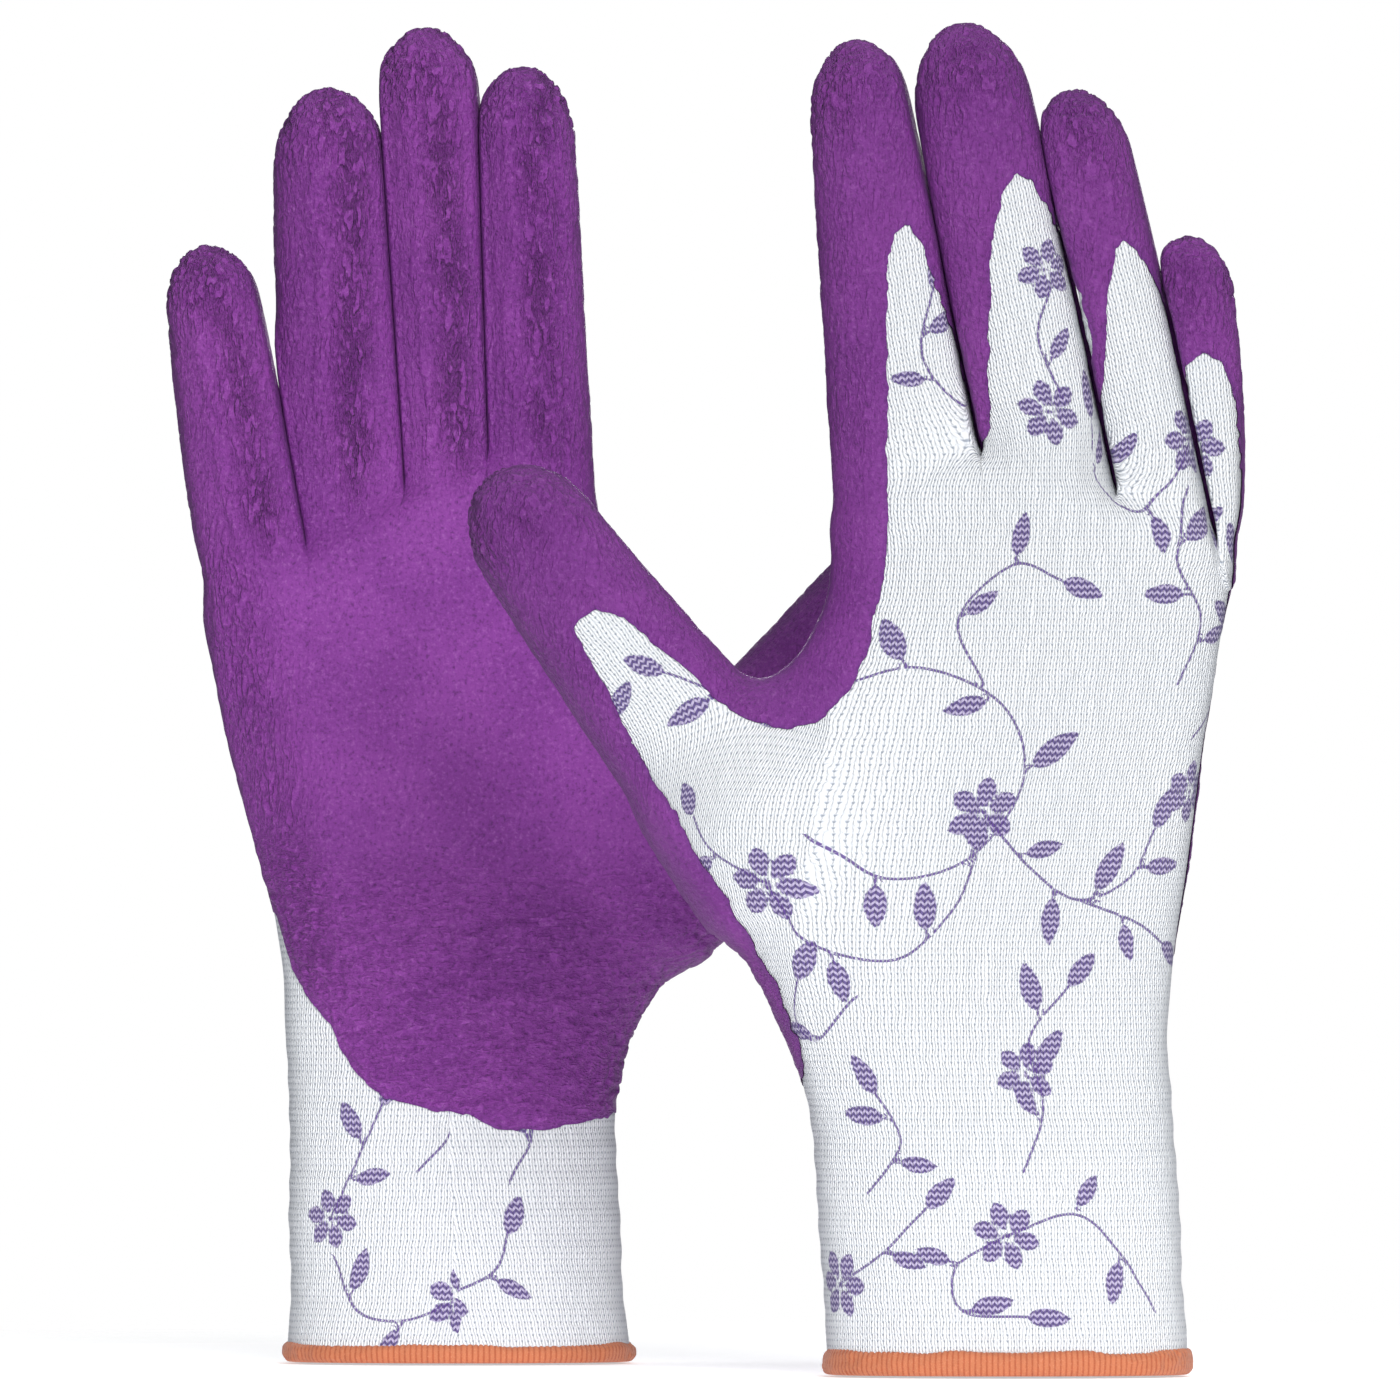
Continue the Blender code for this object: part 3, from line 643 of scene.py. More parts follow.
class VinePrint:
    """Sprays of pointed leaves and six-petalled flowers on thin stems."""

    def __init__(self, side):
        self.shapes, self.stems, self.hearts = [], [], []
        self.add_vine(*VINES[side])
        for shift in CUFF_SHIFTS:
            self.add_vine(*CUFF_VINE, shift)

    def add_vine(self, flowers, stems, shift=0):
        for u, v, size, turn in flowers:
            self.add_flower((u + shift, v), size, turn)
        for route, *leaves in stems:
            self.add_stem([(u + shift, v) for u, v in route], *leaves)

    def add_leaf(self, place, angle, size):
        leaf = blade(size, size * 0.42, start=0.0, skew=0.85, steps=9)
        self.shapes.append(placed(leaf, place, angle))

    def add_flower(self, place, size, turn):
        petal = blade(size * 1.04, size * 0.56, start=0.16, skew=1.25, steps=7)
        for k in range(6):
            self.shapes.append(placed(petal, place, turn + k * math.pi / 3))
        self.hearts.append((*place, size * 0.2))

    def add_stem(self, route, shares, side, size, end_leaf=True):
        """A smooth stem through the points, with stalked leaves on alternate sides."""
        knots = np.array(route, float)
        knots = np.vstack([2 * knots[0] - knots[1], knots, 2 * knots[-1] - knots[-2]])
        line = []
        for p0, p1, p2, p3 in zip(knots, knots[1:], knots[2:], knots[3:]):
            for t in np.linspace(0, 1, 9)[:-1]:
                line.append(0.5 * (2 * p1 + (p2 - p0) * t + (2 * p0 - 5 * p1 + 4 * p2 - p3) * t * t
                                   + (3 * p1 - p0 - 3 * p2 + p3) * t ** 3))
        line = np.array(line + [knots[-2]])
        self.stems.append(line)
        run = np.concatenate([[0], np.cumsum(np.hypot(*np.diff(line, axis=0).T))])
        for k, share in enumerate(shares):
            j = max(min(int(np.searchsorted(run, share * run[-1])), len(line) - 1), 1)
            angle = heading(line[j - 1], line[j]) + (side if k % 2 == 0 else -side) * 0.95
            foot = line[j] + np.array([math.cos(angle), math.sin(angle)]) * 1.6
            self.stems.append(np.array([line[j], foot]))
            self.add_leaf(foot, angle, size * (0.86 + 0.14 * ((k * 7) % 3)))
        if end_leaf:
            self.add_leaf(line[-1], heading(line[-2], line[-1]), size)

    def fields(self, u, v):
        """Depth inside leaves and petals, distance to a stem, and that distance signed."""
        shape = np.full(len(u), -3.0)
        for outline in self.shapes:
            k = within(u, v, np.array(outline), 2)
            if len(k):
                shape[k] = np.maximum(shape[k], polygon_distance(u[k], v[k], outline))
        for heart_u, heart_v, radius in self.hearts:
            k = within(u, v, np.array([(heart_u, heart_v)]), 5)
            distance = np.hypot(u[k] - heart_u, v[k] - heart_v)
            shape[k] = np.minimum(shape[k], distance - radius)
            shape[k] = np.maximum(shape[k], radius * 0.45 - distance)
        near = np.full(len(u), 3.0)
        signed = np.full(len(u), 3.0)
        for line in self.stems:
            k = within(u, v, line, 2.5)
            for start, end in zip(line[:-1], line[1:]):
                run = end - start
                du, dv = u[k] - start[0], v[k] - start[1]
                t = np.clip((du * run[0] + dv * run[1]) / max(float(run @ run), 1e-9), 0, 1)
                du, dv = du - run[0] * t, dv - run[1] * t
                distance = np.hypot(du, dv)
                side = np.sign(run[0] * dv - run[1] * du)
                closer = distance < near[k]
                near[k] = np.where(closer, distance, near[k])
                signed[k] = np.where(closer, side * distance, signed[k])
        return shape, near, signed


# ------------------------------------------------------------------ meshes
def clip_faces(arrays, quads, value):
    """The part of a quad mesh where value > 0: whole quads, and triangles cut along 0.

    The arrays hold a row for each vertex; rows for the cut vertices are added."""
    kept = value > 0
    whole = kept[quads].all(1)
    split = quads[kept[quads].any(1) & ~whole]
    triangles = np.concatenate([split[:, [0, 1, 2]], split[:, [0, 2, 3]]])
    kept_corners = kept[triangles]
    kept_count = kept_corners.sum(1)
    cuts = {}
    added = [[] for _ in arrays]
    extra = []

    def cut(i, j):
        a, b = key = (i, j) if i < j else (j, i)
        if key not in cuts:
            cuts[key] = len(value) + len(cuts)
            t = min(max(value[a] / (value[a] - value[b]), 0.02), 0.98)
            for rows, array in zip(added, arrays):
                rows.append(array[a] * (1 - t) + array[b] * t)
        return cuts[key]

    partial = (kept_count == 1) | (kept_count == 2)
    for triangle, inside in zip(triangles[partial], kept_corners[partial]):
        one_kept = inside.sum() == 1
        r = int(np.argmax(inside) if one_kept else np.argmin(inside))
        a, b, c = triangle[r], triangle[(r + 1) % 3], triangle[(r + 2) % 3]
        first, second = cut(a, b), cut(c, a)
        if one_kept:
            extra.append((a, first, second))
        else:
            extra += [(first, b, c), (first, c, second)]
    triangles = np.concatenate([triangles[kept_count == 3],
                                np.array(extra, np.int64).reshape(-1, 3)])
    grown = [np.concatenate([array, np.array(rows).reshape((-1,) + array.shape[1:])])
             for array, rows in zip(arrays, added)]
    return grown, quads[whole], triangles


def subdivide(points, normals, edge_values, quads, tris):
    """One round of splitting with edge points lifted on to the curved surface."""
    edges = np.concatenate([quads[:, [i, (i + 1) % 4]] for i in range(4)]
                           + [tris[:, [i, (i + 1) % 3]] for i in range(3)])
    key = np.sort(edges, 1)
    code = key[:, 0].astype(np.int64) * len(points) + key[:, 1]
    _, first, which = np.unique(code, return_index=True, return_inverse=True)
    a, b = key[first, 0], key[first, 1]
    lift_a = ((points[b] - points[a]) * normals[a]).sum(1)[:, None]
    lift_b = ((points[a] - points[b]) * normals[b]).sum(1)[:, None]
    middles = (points[a] + points[b]) / 2 - (lift_a * normals[a] + lift_b * normals[b]) / 8
    quad_count, point_count = len(quads), len(points)
    quad_edges = which[:4 * quad_count].reshape(4, quad_count).T + point_count
    tri_edges = which[4 * quad_count:].reshape(3, len(tris)).T + point_count
    centres = np.arange(quad_count) + point_count + len(middles)
    placed_points = np.concatenate([points, middles])
    middle = placed_points[quad_edges].sum(1) / 2 - points[quads].sum(1) / 4

    def refined(array):
        return np.concatenate([array, (array[a] + array[b]) / 2, array[quads].mean(1)])

    new_quads = np.concatenate(
        [np.stack([quads[:, k], quad_edges[:, k], centres, quad_edges[:, k - 1]], 1)
         for k in range(4)])
    new_tris = np.concatenate(
        [np.stack([tris[:, k], tri_edges[:, k], tri_edges[:, k - 1]], 1) for k in range(3)]
        + [tri_edges])
    return (np.concatenate([placed_points, middle]), unit(refined(normals)),
            refined(edge_values), new_quads, new_tris)


def boundary_edges(face_sets):
    """Directed edges that only one face uses."""
    edges = np.concatenate([faces[:, [i, (i + 1) % faces.shape[1]]]
                            for faces in face_sets for i in range(faces.shape[1])])
    key = np.sort(edges, 1)
    code = key[:, 0].astype(np.int64) * (key.max() + 1) + key[:, 1]
    _, which, count = np.unique(code, return_inverse=True, return_counts=True)
    return edges[count[which] == 1]


def face_uv(uv, faces):
    """u, v of each corner; u goes on by a girth where a face spans the seam."""
    corners = uv[faces]
    u, girth = corners[:, :, 0], corners[:, :, 2]
    top = u.max(1)[:, None]
    corners[:, :, 0] = np.where(top - u > 15, u + girth, u)
    return corners[:, :, :2].reshape(-1, 2)


def make_mesh(name, points, face_sets, attributes, normals=None, uv=None):
    """An object from points in mm and face arrays, keeping only the vertices in use."""
    face_sets = [faces for faces in face_sets if len(faces)]
    used = np.unique(np.concatenate([faces.ravel() for faces in face_sets]))
    remap = -np.ones(len(points), np.int64)
    remap[used] = np.arange(len(used))
    corners = np.concatenate([remap[faces].ravel() for faces in face_sets])
    sizes = np.concatenate([np.full(len(faces), faces.shape[1]) for faces in face_sets])
    starts = np.concatenate([[0], np.cumsum(sizes)[:-1]])
    mesh = bpy.data.meshes.new(name)
    mesh.vertices.add(len(used))
    mesh.vertices.foreach_set("co", (points[used] * 0.001).astype(F32).ravel())
    mesh.loops.add(len(corners))
    mesh.loops.foreach_set("vertex_index", corners.astype(np.int32))
    mesh.polygons.add(len(sizes))
    mesh.polygons.foreach_set("loop_start", starts.astype(np.int32))
    mesh.update(calc_edges=True)
    mesh.polygons.foreach_set("use_smooth", np.ones(len(sizes), bool))
    if uv is not None:
        layer = mesh.uv_layers.new(name="knit")
        flat = np.concatenate([face_uv(uv, faces) for faces in face_sets])
        layer.data.foreach_set("uv", flat.astype(F32).ravel())
    for key, values in attributes.items():
        kind, field = ("FLOAT_VECTOR", "vector") if values.ndim == 2 else ("FLOAT", "value")
        attribute = mesh.attributes.new(key, kind, "POINT")
        attribute.data.foreach_set(field, values[used].astype(F32).ravel())
    mesh.validate()
    if normals is not None:
        mesh.normals_split_custom_set_from_vertices(normals[used].astype(F32))
    ob = bpy.data.objects.new(name, mesh)
    bpy.context.scene.collection.objects.link(ob)
    return ob


# ------------------------------------------------------------------ zones of a glove; the hand's pieces go on the hand
# length of the lower bend, and half the length of the middle one
BEND_LENGTHS = dict(little=(9.5, 6.0), ring=(11.0, 7.0), middle=(11.0, 7.0),
                    index=(11.0, 7.0), thumb=(15.0, 8.0))


class Rig:
    """Where each of a glove's joints bends."""

    def __init__(self, glove):
        self.glove = glove
        self.bends = {}
        for name in DIGITS:
            joint = JOINTS[f"{glove.side}_{name}_middle_bend"]["pos_m"]
            x = (joint[0] * 1000 - glove.origin[0]) * glove.turning[0]
            middle = float(glove.digits[name].along_across(x, joint[2] * 1000)[0])
            start = glove.data["start"][name]
            reach, half = BEND_LENGTHS[name]
            self.bends[name] = dict(base=(start, start + reach), tip=(middle - half, middle + half))

    def zone(self, points, faces):
        """Number of the zone that each face is in."""
        x, y, z = points.T
        zone = np.ones(len(faces), int)
        zone[(z[faces] < 62).any(1)] = ZONES.index("wrist")
        strip = self.glove.strip(x, y, z, spread=0.0)
        for i, name in enumerate(DIGITS):
            along, across = self.glove.digits[name].along_across(x, z)
            here = (np.abs(across) < 22.5) & (z < 185) if name == "thumb" else strip == i
            for part in ("base", "tip"):
                beyond = (along[faces] > self.bends[name][part][0]).any(1)
                zone[here[faces].all(1) & beyond] = ZONES.index(f"{name}_{part}")
        return zone

    def world(self, x, y, z):
        return tuple((self.glove.to_world(np.array([x, y, z])) / 1000).tolist())

    def attach(self, ob, zone):
        side = self.glove.side
        if zone == "wrist":
            low, high = (self.world(0, 0, z) for z in WRIST)
            side + "_cuff"
            side + "_hand"
            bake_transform(ob)
            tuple(low)
            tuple(high)
        elif zone == "hand":
            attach(ob, side + "_hand")
        else:
            name, part = zone.split("_")
            finger = self.glove.digits[name]
            for along in self.bends[name][part]:
                x, z = finger.at(along)
                self.world(x, finger.y, z)
            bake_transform(ob)


# ------------------------------------------------------------------ relief
def near_gap(glove, points, far, close):
    """1 within `close` of the surface between two fingers, 0 beyond `far`."""
    x, y, z = points.T
    near = np.zeros(len(points))
    for k in range(3):
        near = np.maximum(near, smoothstep(-np.abs(x - glove.gap_x(k, y, z)), -far, -close))
    return near


def facing(glove, points, normals):
    """1 on the sides of fingers that face a neighbour."""
    return (near_gap(glove, points, 2.4, 1.5) * smoothstep(np.abs(normals[:, 0]), 0.6, 0.85)
            * smoothstep(points[:, 2], 148, 158))


def body_relief(glove, points, normals):
    """Soft hollows of the hand and rows and slack of the cuff, mm along the normal."""
    x, y, z = points.T
    seed = glove.data["body_seed"]
    soft = 0.28 * noise(points / 21.0, seed) + 0.16 * noise(points / 9.0, seed + 1)
    cuff = smoothstep(z, 66, 50)
    rows = 0.10 * np.sin(z / 6.4 * 2 * math.pi) * cuff * smoothstep(z, 6, 14)
    slack = 0.5 * noise(xyz(x / 40, y / 40, z / 13.0), seed + 2) * cuff * smoothstep(z, 4, 20)
    # the fingers are smoother, and their sides lie flat against each other
    fingers = smoothstep(z, 150, 166)
    return soft * (1 - 0.6 * fingers) * (1 - facing(glove, points, normals)) + rows + slack


# long creases of a finger's palm side: across, depth, width
LONG_CREASES = ((-4.2, 0.50, 0.6), (5.6, 0.40, 0.55), (-1.4, 0.28, 0.5))
# folds across a finger: share of its length, spread along it, strength
FOLDS = ((0.44, 6.5, 1.0), (0.72, 5.0, 0.6))


def finger_creases(glove, number, points, seed):
    """Which points are on a digit, and their crease relief (mm) and crinkle (0 to 1)."""
    finger = glove.digits[DIGITS[number]]
    x, y, z = points.T
    along, across = finger.along_across(x, z)
    near = (np.abs(across) < 15) & (along > -10) & (along < finger.length + 2)
    if finger.name == "thumb":
        near &= z < 190
    else:
        if number > 0:
            near &= x > glove.gap_x(number - 1, y, z)
        if number < 3:
            near &= x < glove.gap_x(number, y, z)
    picked = np.nonzero(near)[0]
    along, across, y = along[picked], across[picked], y[picked] - finger.y
    palm = smoothstep(-y, -3, 2.5)
    fade = smoothstep(along, -8, 8)

    # fine crumples, strongest in a wandering band up the palm side and at the tip
    cells = xyz(across / 1.25, along / 3.4, y / 2.5) + 40 * number
    wander = 1.2 * noise(xyz(along / 15, 0, number), seed + 3)
    band = bell(across - 2.6 - wander, 3.3)
    tip = smoothstep(along, finger.length - 22, finger.length - 8)
    rough = ((0.16 + 0.84 * np.maximum(band, 0.75 * tip)) * palm
             + (1 - palm) * (0.20 + 0.40 * tip))
    patches = noise(xyz(across / 4, along / 9.0, y / 6) + 9 * number, seed + 4)
    rough = rough * (0.55 + 0.45 * smoothstep(patches, -0.4, 0.4))
    crumple = ridged(cells, seed + 5) + 0.6 * ridged(cells * 1.9 + 5, seed + 6)
    relief = -0.72 * crumple * rough * fade

    # long creases, with a flatter side plane beyond the first
    reach = palm * fade * smoothstep(finger.length - along, 6, 20)
    for place, depth, width in LONG_CREASES:
        line = (place * (0.75 + 0.25 * finger.root_width / 20)
                + 0.9 * noise(xyz(along / 11, place, number), seed + 7))
        broken = smoothstep(noise(xyz(along / 9, place, 5 + number), seed + 8), -0.6, 0.2)
        relief -= depth * bell(across - line, width) * broken * reach
        if place < -4:
            relief -= 0.45 * smoothstep(line - across, -0.2, 1.0) * reach

    where = sum(strength * bell(along - finger.length * share, spread)
                for share, spread, strength in FOLDS)
    cells = xyz(across / 8.0, along / 1.9, y / 9.0) + 17 * number
    relief -= 0.15 * ridged(cells, seed + 9) * where * palm
    return picked, relief, rough * fade


def coat_relief(glove, points, edge):
    """Creases and crinkles of the foam coat: (mm along the normal, how crinkled it is)."""
    x, y, z = points.T
    seed = glove.data["coat_seed"]
    relief = 0.05 * noise(points / 1.1, seed) + 0.07 * noise(points / 2.4, seed + 1)
    rough = np.zeros(len(points))
    for i in range(len(DIGITS)):
        picked, creases, crinkle = finger_creases(glove, i, points, seed)
        relief[picked] += creases
        rough[picked] = np.maximum(rough[picked], crinkle)
    palm = smoothstep(-y, -3, 2)
    # crosswise crinkles over the heel of the hand
    heel = smoothstep(z, 104, 80) * palm
    relief -= 0.36 * ridged(xyz(x / 5.0, y / 5.0, z / 2.4), seed + 11) * heel
    relief -= 0.34 * ridged(xyz(x / 2.3, y / 2.5, z / 1.5), seed + 12) * heel
    # slanting creases over the palm, crumpled along the little finger's side
    middle = palm * smoothstep(z, 90, 110) * smoothstep(z, 172, 150)
    slanted = xyz(x / 12.0 + z / 26.0, y / 9.0, z / 6.5 - x / 30.0)
    relief -= 0.12 * ridged(slanted, seed + 13) * middle
    outer = (bell(x - glove.tube_at(z)[0] - 7, 6.0) * palm
             * smoothstep(z, 60, 75) * smoothstep(z, 165, 145))
    relief -= 0.30 * ridged(xyz(x / 1.8, y / 3.0, z / 4.5), seed + 14) * outer
    rough = np.maximum(rough, np.maximum(0.22 * heel, 0.45 * outer))
    return np.maximum(relief, -0.72) * smoothstep(edge, 0.0, 2.5), rough


# ------------------------------------------------------------------ build one glove
def build_shells(rig, kind, points, normals, face_sets, outer, outer_normals, inner_offset,
                 attributes, material, slots, parts, part_suffix, uv=None):
    """A closed shell for each zone. `parts` gives the replaced node of single zones; the rest
    take zone + part_suffix. `slots` is not used."""
    glove = rig.glove
    inner = points + normals * inner_offset
    both = glove.to_world(np.vstack([outer, inner]))
    both_normals = np.vstack([outer_normals, -normals]) * glove.turning
    rest = points + np.array([[glove.data["texture_shift"], 0, 0]])
    attributes = {key: np.concatenate([values, values])
                  for key, values in {**attributes, "rest": rest}.items()}
    if uv is not None:
        uv = np.concatenate([uv, uv])
    zones = [rig.zone(points, faces) for faces in face_sets]
    inside = len(points)
    for k, zone in enumerate(ZONES):
        own = [faces[number == k] for faces, number in zip(face_sets, zones)]
        own = [faces for faces in own if len(faces)]
        if not own:
            continue
        a, b = boundary_edges(own).T
        rim = np.stack([b, a, a + inside, b + inside], 1)
        faces = own + [one[:, ::-1] + inside for one in own] + [rim]
        ob = make_mesh(f"{glove.side}_{zone}_{kind}", both, faces, attributes, both_normals, uv)
        ob.data.materials.append(material)
        rig.attach(ob, zone)
        slots.get(zone, slots["other"])
        part = parts.get(zone, zone + part_suffix)
        if part:
            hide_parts(f"{glove.side}_{part}")


def build_knit(rig, points, normals, quads, coat, strip):
    """The knit; returns its points."""
    u, v, girth = knit_uv(rig.glove, points, strip)
    leaf, near, line = VinePrint(rig.glove.side).fields(u, v)
    # bare knit fills the gap that the coat fills elsewhere
    wall = (smoothstep(np.abs(normals[:, 0]), 0.55, 0.9) * smoothstep(-coat, 0.2, 1.6)
            * smoothstep(points[:, 2], 150, 162))
    fill = 0.3 * wall * near_gap(rig.glove, points, 2.2, 1.4)
    points = points + normals * fill[:, None]
    build_shells(rig, "knit", points, normals, [quads], points, normals, -LINER_T,
                 {"leaf": leaf, "near": near, "line": line}, KNIT,
                 slots={"wrist": "cuff_knit", "other": "liner_knit"},
                 parts={"wrist": "cuff_rib", "hand": "hand_liner"}, part_suffix="_liner",
                 uv=np.stack([u, v, girth], 1))
    return points


def build_coat(rig, points, normals, quads, coat):
    (points, normals, edge), quads, tris = clip_faces([points, normals, coat], quads, coat)
    normals = unit(normals)
    points, normals, edge, quads, tris = subdivide(points, normals, edge, quads, tris)
    edge = np.maximum(edge, 0)
    thick = COAT_RIM + (COAT_OFF - COAT_RIM) * smoothstep(edge, 0, 2.6)
    relief, rough = coat_relief(rig.glove, points, edge)
    relief = relief * (1 - 0.85 * facing(rig.glove, points, normals))
    # how deep the relief goes; the foam paints shade into the creases by it
    deep = np.clip(-relief - 0.08, 0, 0.6) / 0.6
    outer = points + normals * np.maximum(thick + relief, COAT_IN + 0.08)[:, None]
    build_shells(rig, "foam", points, normals, [quads, tris], outer,
                 vertex_normals(outer, quads, tris), COAT_IN,
                 {"edge": edge, "rough": rough, "deep": deep}, FOAM,
                 slots={"other": "foam_latex"},
                 parts={"wrist": None, "hand": "palm_coat"}, part_suffix="_coat")


HEM_STEPS, RING_STEPS = 760, 26   # round the opening, and round the band's section
HEM_SET_IN, HEM_THICK = 0.72, 1.15  # band's middle inside the tube's outline, half thickness
THREAD_PITCH = 1.05


def build_hem(glove):
    """The overlocked edge: a rounded band of slanted threads round the opening."""
    height = glove.data["hem_height"]
    left, right, depth, middle_y = [float(value) for value in glove.tube_at(2.0)]
    middle_x, half_width, half_depth = (left + right) / 2, (right - left) / 2, depth / 2
    angle = np.linspace(0, 2 * np.pi, 4001)
    x = signed_power(np.cos(angle), 2 / TUBE) * half_width
    y = signed_power(np.sin(angle), 2 / TUBE) * half_depth
    run = np.concatenate([[0], np.cumsum(np.hypot(np.diff(x), np.diff(y)))])
    along = np.linspace(0, run[-1], HEM_STEPS, endpoint=False)
    x, y = np.interp(along, run, x), np.interp(along, run, y)
    normal_x = signed_power(x / half_width, TUBE - 1) / half_width
    normal_y = signed_power(y / half_depth, TUBE - 1) / half_depth
    length = np.hypot(normal_x, normal_y)
    normal_x, normal_y = normal_x / length, normal_y / length
    ring_angle = np.linspace(0, 2 * np.pi, RING_STEPS, endpoint=False)
    ring_out = signed_power(np.cos(ring_angle), 0.95)
    ring_up = signed_power(np.sin(ring_angle), 0.85)
    pitch = run[-1] / round(run[-1] / THREAD_PITCH)
    verts = np.zeros((HEM_STEPS, RING_STEPS, 3))
    for j, (out, up) in enumerate(zip(ring_out, ring_up)):
        z = height / 2 + up * (height / 2)
        outward = 1 if out > 0 else -1
        slant = ((z / height) * 2.4 + 0.5 * np.sin(along / 5.3)
                 + 0.8 * noise(xyz(along / 3.6, 0, 0), 79))
        phase = (along / pitch + slant * outward) % 1.0
        ridge = np.abs(np.sin(np.pi * phase)) ** 0.6
        worn = 0.65 + 0.55 * noise(xyz(along / 5.0, z / 3.0, 9.0), 80)
        band = (0.30 * (ridge - 0.6) * worn
                + 0.24 * noise(xyz(along / 1.6, z / 1.3, 5.0), 77))
        if abs(up) >= 0.97:
            band = band * 0.3
        offset = -HEM_SET_IN + out * HEM_THICK + band * outward
        wave = 0.40 * noise(xyz(along / 6.0, 3.0, 1.0), 78) - 0.20 + 0.30 * (ridge - 0.6)
        verts[:, j] = xyz(middle_x + x + normal_x * offset, middle_y + y + normal_y * offset,
                          z + wave * max(up, 0.0))
    verts[:, :, 2] = np.maximum(verts[:, :, 2], 0.0)
    points = verts.reshape(-1, 3)
    i, j = np.meshgrid(np.arange(HEM_STEPS), np.arange(RING_STEPS), indexing="ij")
    row, next_row = i * RING_STEPS, (i + 1) % HEM_STEPS * RING_STEPS
    next_j = (j + 1) % RING_STEPS
    faces = np.stack([row + j, next_row + j, next_row + next_j, row + next_j], -1).reshape(-1, 4)
    ob = make_mesh(f"{glove.side}_hem_thread", glove.to_world(points), [faces],
                   {"along": np.repeat(along, RING_STEPS) / pitch, "rest": points})
    ob.data.materials.append(THREAD)
    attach(ob, glove.side + "_cuff")
    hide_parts(glove.side + "_hem_binding")


def build_glove(side):
    glove = Glove(side)
    rig = Rig(glove)
    points, quads = surface_net(glove)
    strip = glove.strip(*points.T, spread=SPREAD)
    points[:, 0] = glove.unspread(*points.T)
    normals = vertex_normals(points, quads)
    points = points + normals * body_relief(glove, points, normals)[:, None]
    quads = quads[(points[quads, 2] > 2.5).all(1)]  # opens the cuff
    normals = vertex_normals(points, quads)
    coat = coat_value(glove, points)
    points = build_knit(rig, points, normals, quads, coat, strip)
    build_coat(rig, points, normals, quads, coat)
    build_hem(glove)


def dress_elastic(side):
    node = frame["nodes"][side + "_cuff_elastic"]
    node.data.materials.clear()
    node.data.materials.append(ELASTIC)
    for polygon in node.data.polygons:
        polygon.use_smooth = True


# ------------------------------------------------------------------ materials
def math_operator(operation, swapped=False):
    def apply(self, other):
        pair = (other, self) if swapped else (self, other)
        return self.shader.math(operation, *pair)
    return apply


class Signal:
    """A node's output; arithmetic on it adds math nodes."""

    def __init__(self, shader, socket):
        self.shader, self.socket = shader, socket

    __add__ = math_operator("ADD")
    __radd__ = math_operator("ADD", swapped=True)
    __sub__ = math_operator("SUBTRACT")
    __rsub__ = math_operator("SUBTRACT", swapped=True)
    __mul__ = math_operator("MULTIPLY")
    __truediv__ = math_operator("DIVIDE")
    __pow__ = math_operator("POWER")

    def __abs__(self):
        return self.shader.math("ABSOLUTE", self)


class Shader:
    """A node material written as sums."""

    def __init__(self, name):
        self.material = bpy.data.materials.new(name)
        self.material.use_nodes = True
        self.tree = self.material.node_tree
        self.tree.nodes.clear()
        self.out = self.tree.nodes.new("ShaderNodeOutputMaterial")

    def node(self, kind, **props):
        node = self.tree.nodes.new(kind)
        for key, value in props.items():
            setattr(node, key, value)
        return node

    def put(self, socket, value):
        if isinstance(value, Signal):
            self.tree.links.new(value.socket, socket)
        else:
            socket.default_value = value

    def build(self, kind, inputs, output=0, **props):
        """A new node with these inputs, by name or number; returns one output."""
        node = self.node(kind, **props)
        for key, value in inputs.items():
            self.put(node.inputs[key], value)
        return Signal(self, node.outputs[output])

    def math(self, operation, *values, clamp=False):
        return self.build("ShaderNodeMath", dict(enumerate(values)),
                          operation=operation, use_clamp=clamp)

    def step(self, value, low, high):
        """Smooth rise from 0 at low to 1 at high."""
        return self.build("ShaderNodeMapRange", dict(enumerate((value, low, high, 0.0, 1.0))),
                          interpolation_type="SMOOTHSTEP")

    def mix(self, share, a, b):
        return self.build("ShaderNodeMix", {0: share, 6: a, 7: b}, output=2, data_type="RGBA")

    def attribute(self, name, output="Fac"):
        return self.build("ShaderNodeAttribute", {}, output, attribute_name=name)

    def separate(self, vector):
        node = self.node("ShaderNodeSeparateXYZ")
        self.put(node.inputs[0], vector)
        return [Signal(self, socket) for socket in node.outputs]

    def stretch(self, vector, scale):
        return self.build("ShaderNodeMapping", {"Vector": vector, "Scale": scale})

    def noise(self, vector, scale, detail=3.0, rough=0.55):
        return self.build("ShaderNodeTexNoise", {"Vector": vector, "Scale": scale,
                                                 "Detail": detail, "Roughness": rough})

    def grazing(self):
        """0 where the surface faces the camera, 1 at its outline."""
        return self.build("ShaderNodeLayerWeight", {0: 0.5}, output=1)

    def bump(self, height, distance, strength):
        return self.build("ShaderNodeBump", {"Strength": strength, "Distance": distance,
                                             "Height": height})

    def surface(self, color, rough, normal, specular, sheen=0.0, sheen_tint=(1, 1, 1, 1)):
        shaded = self.build("ShaderNodeBsdfPrincipled", {
            "Base Color": color, "Roughness": rough, "Specular IOR Level": specular,
            "Sheen Weight": sheen, "Sheen Roughness": 0.5, "Sheen Tint": sheen_tint,
            "Normal": normal})
        return self.finish(shaded)

    def finish(self, shaded):
        self.put(self.out.inputs[0], shaded)
        return self.material


def srgb(*channels):
    def linear(value):
        value /= 255
        return value / 12.92 if value <= 0.04045 else ((value + 0.055) / 1.055) ** 2.4
    return (*map(linear, channels), 1.0)


WALE, COURSE = 1.20, 1.17  # width of a column of stitches and height of a row, mm


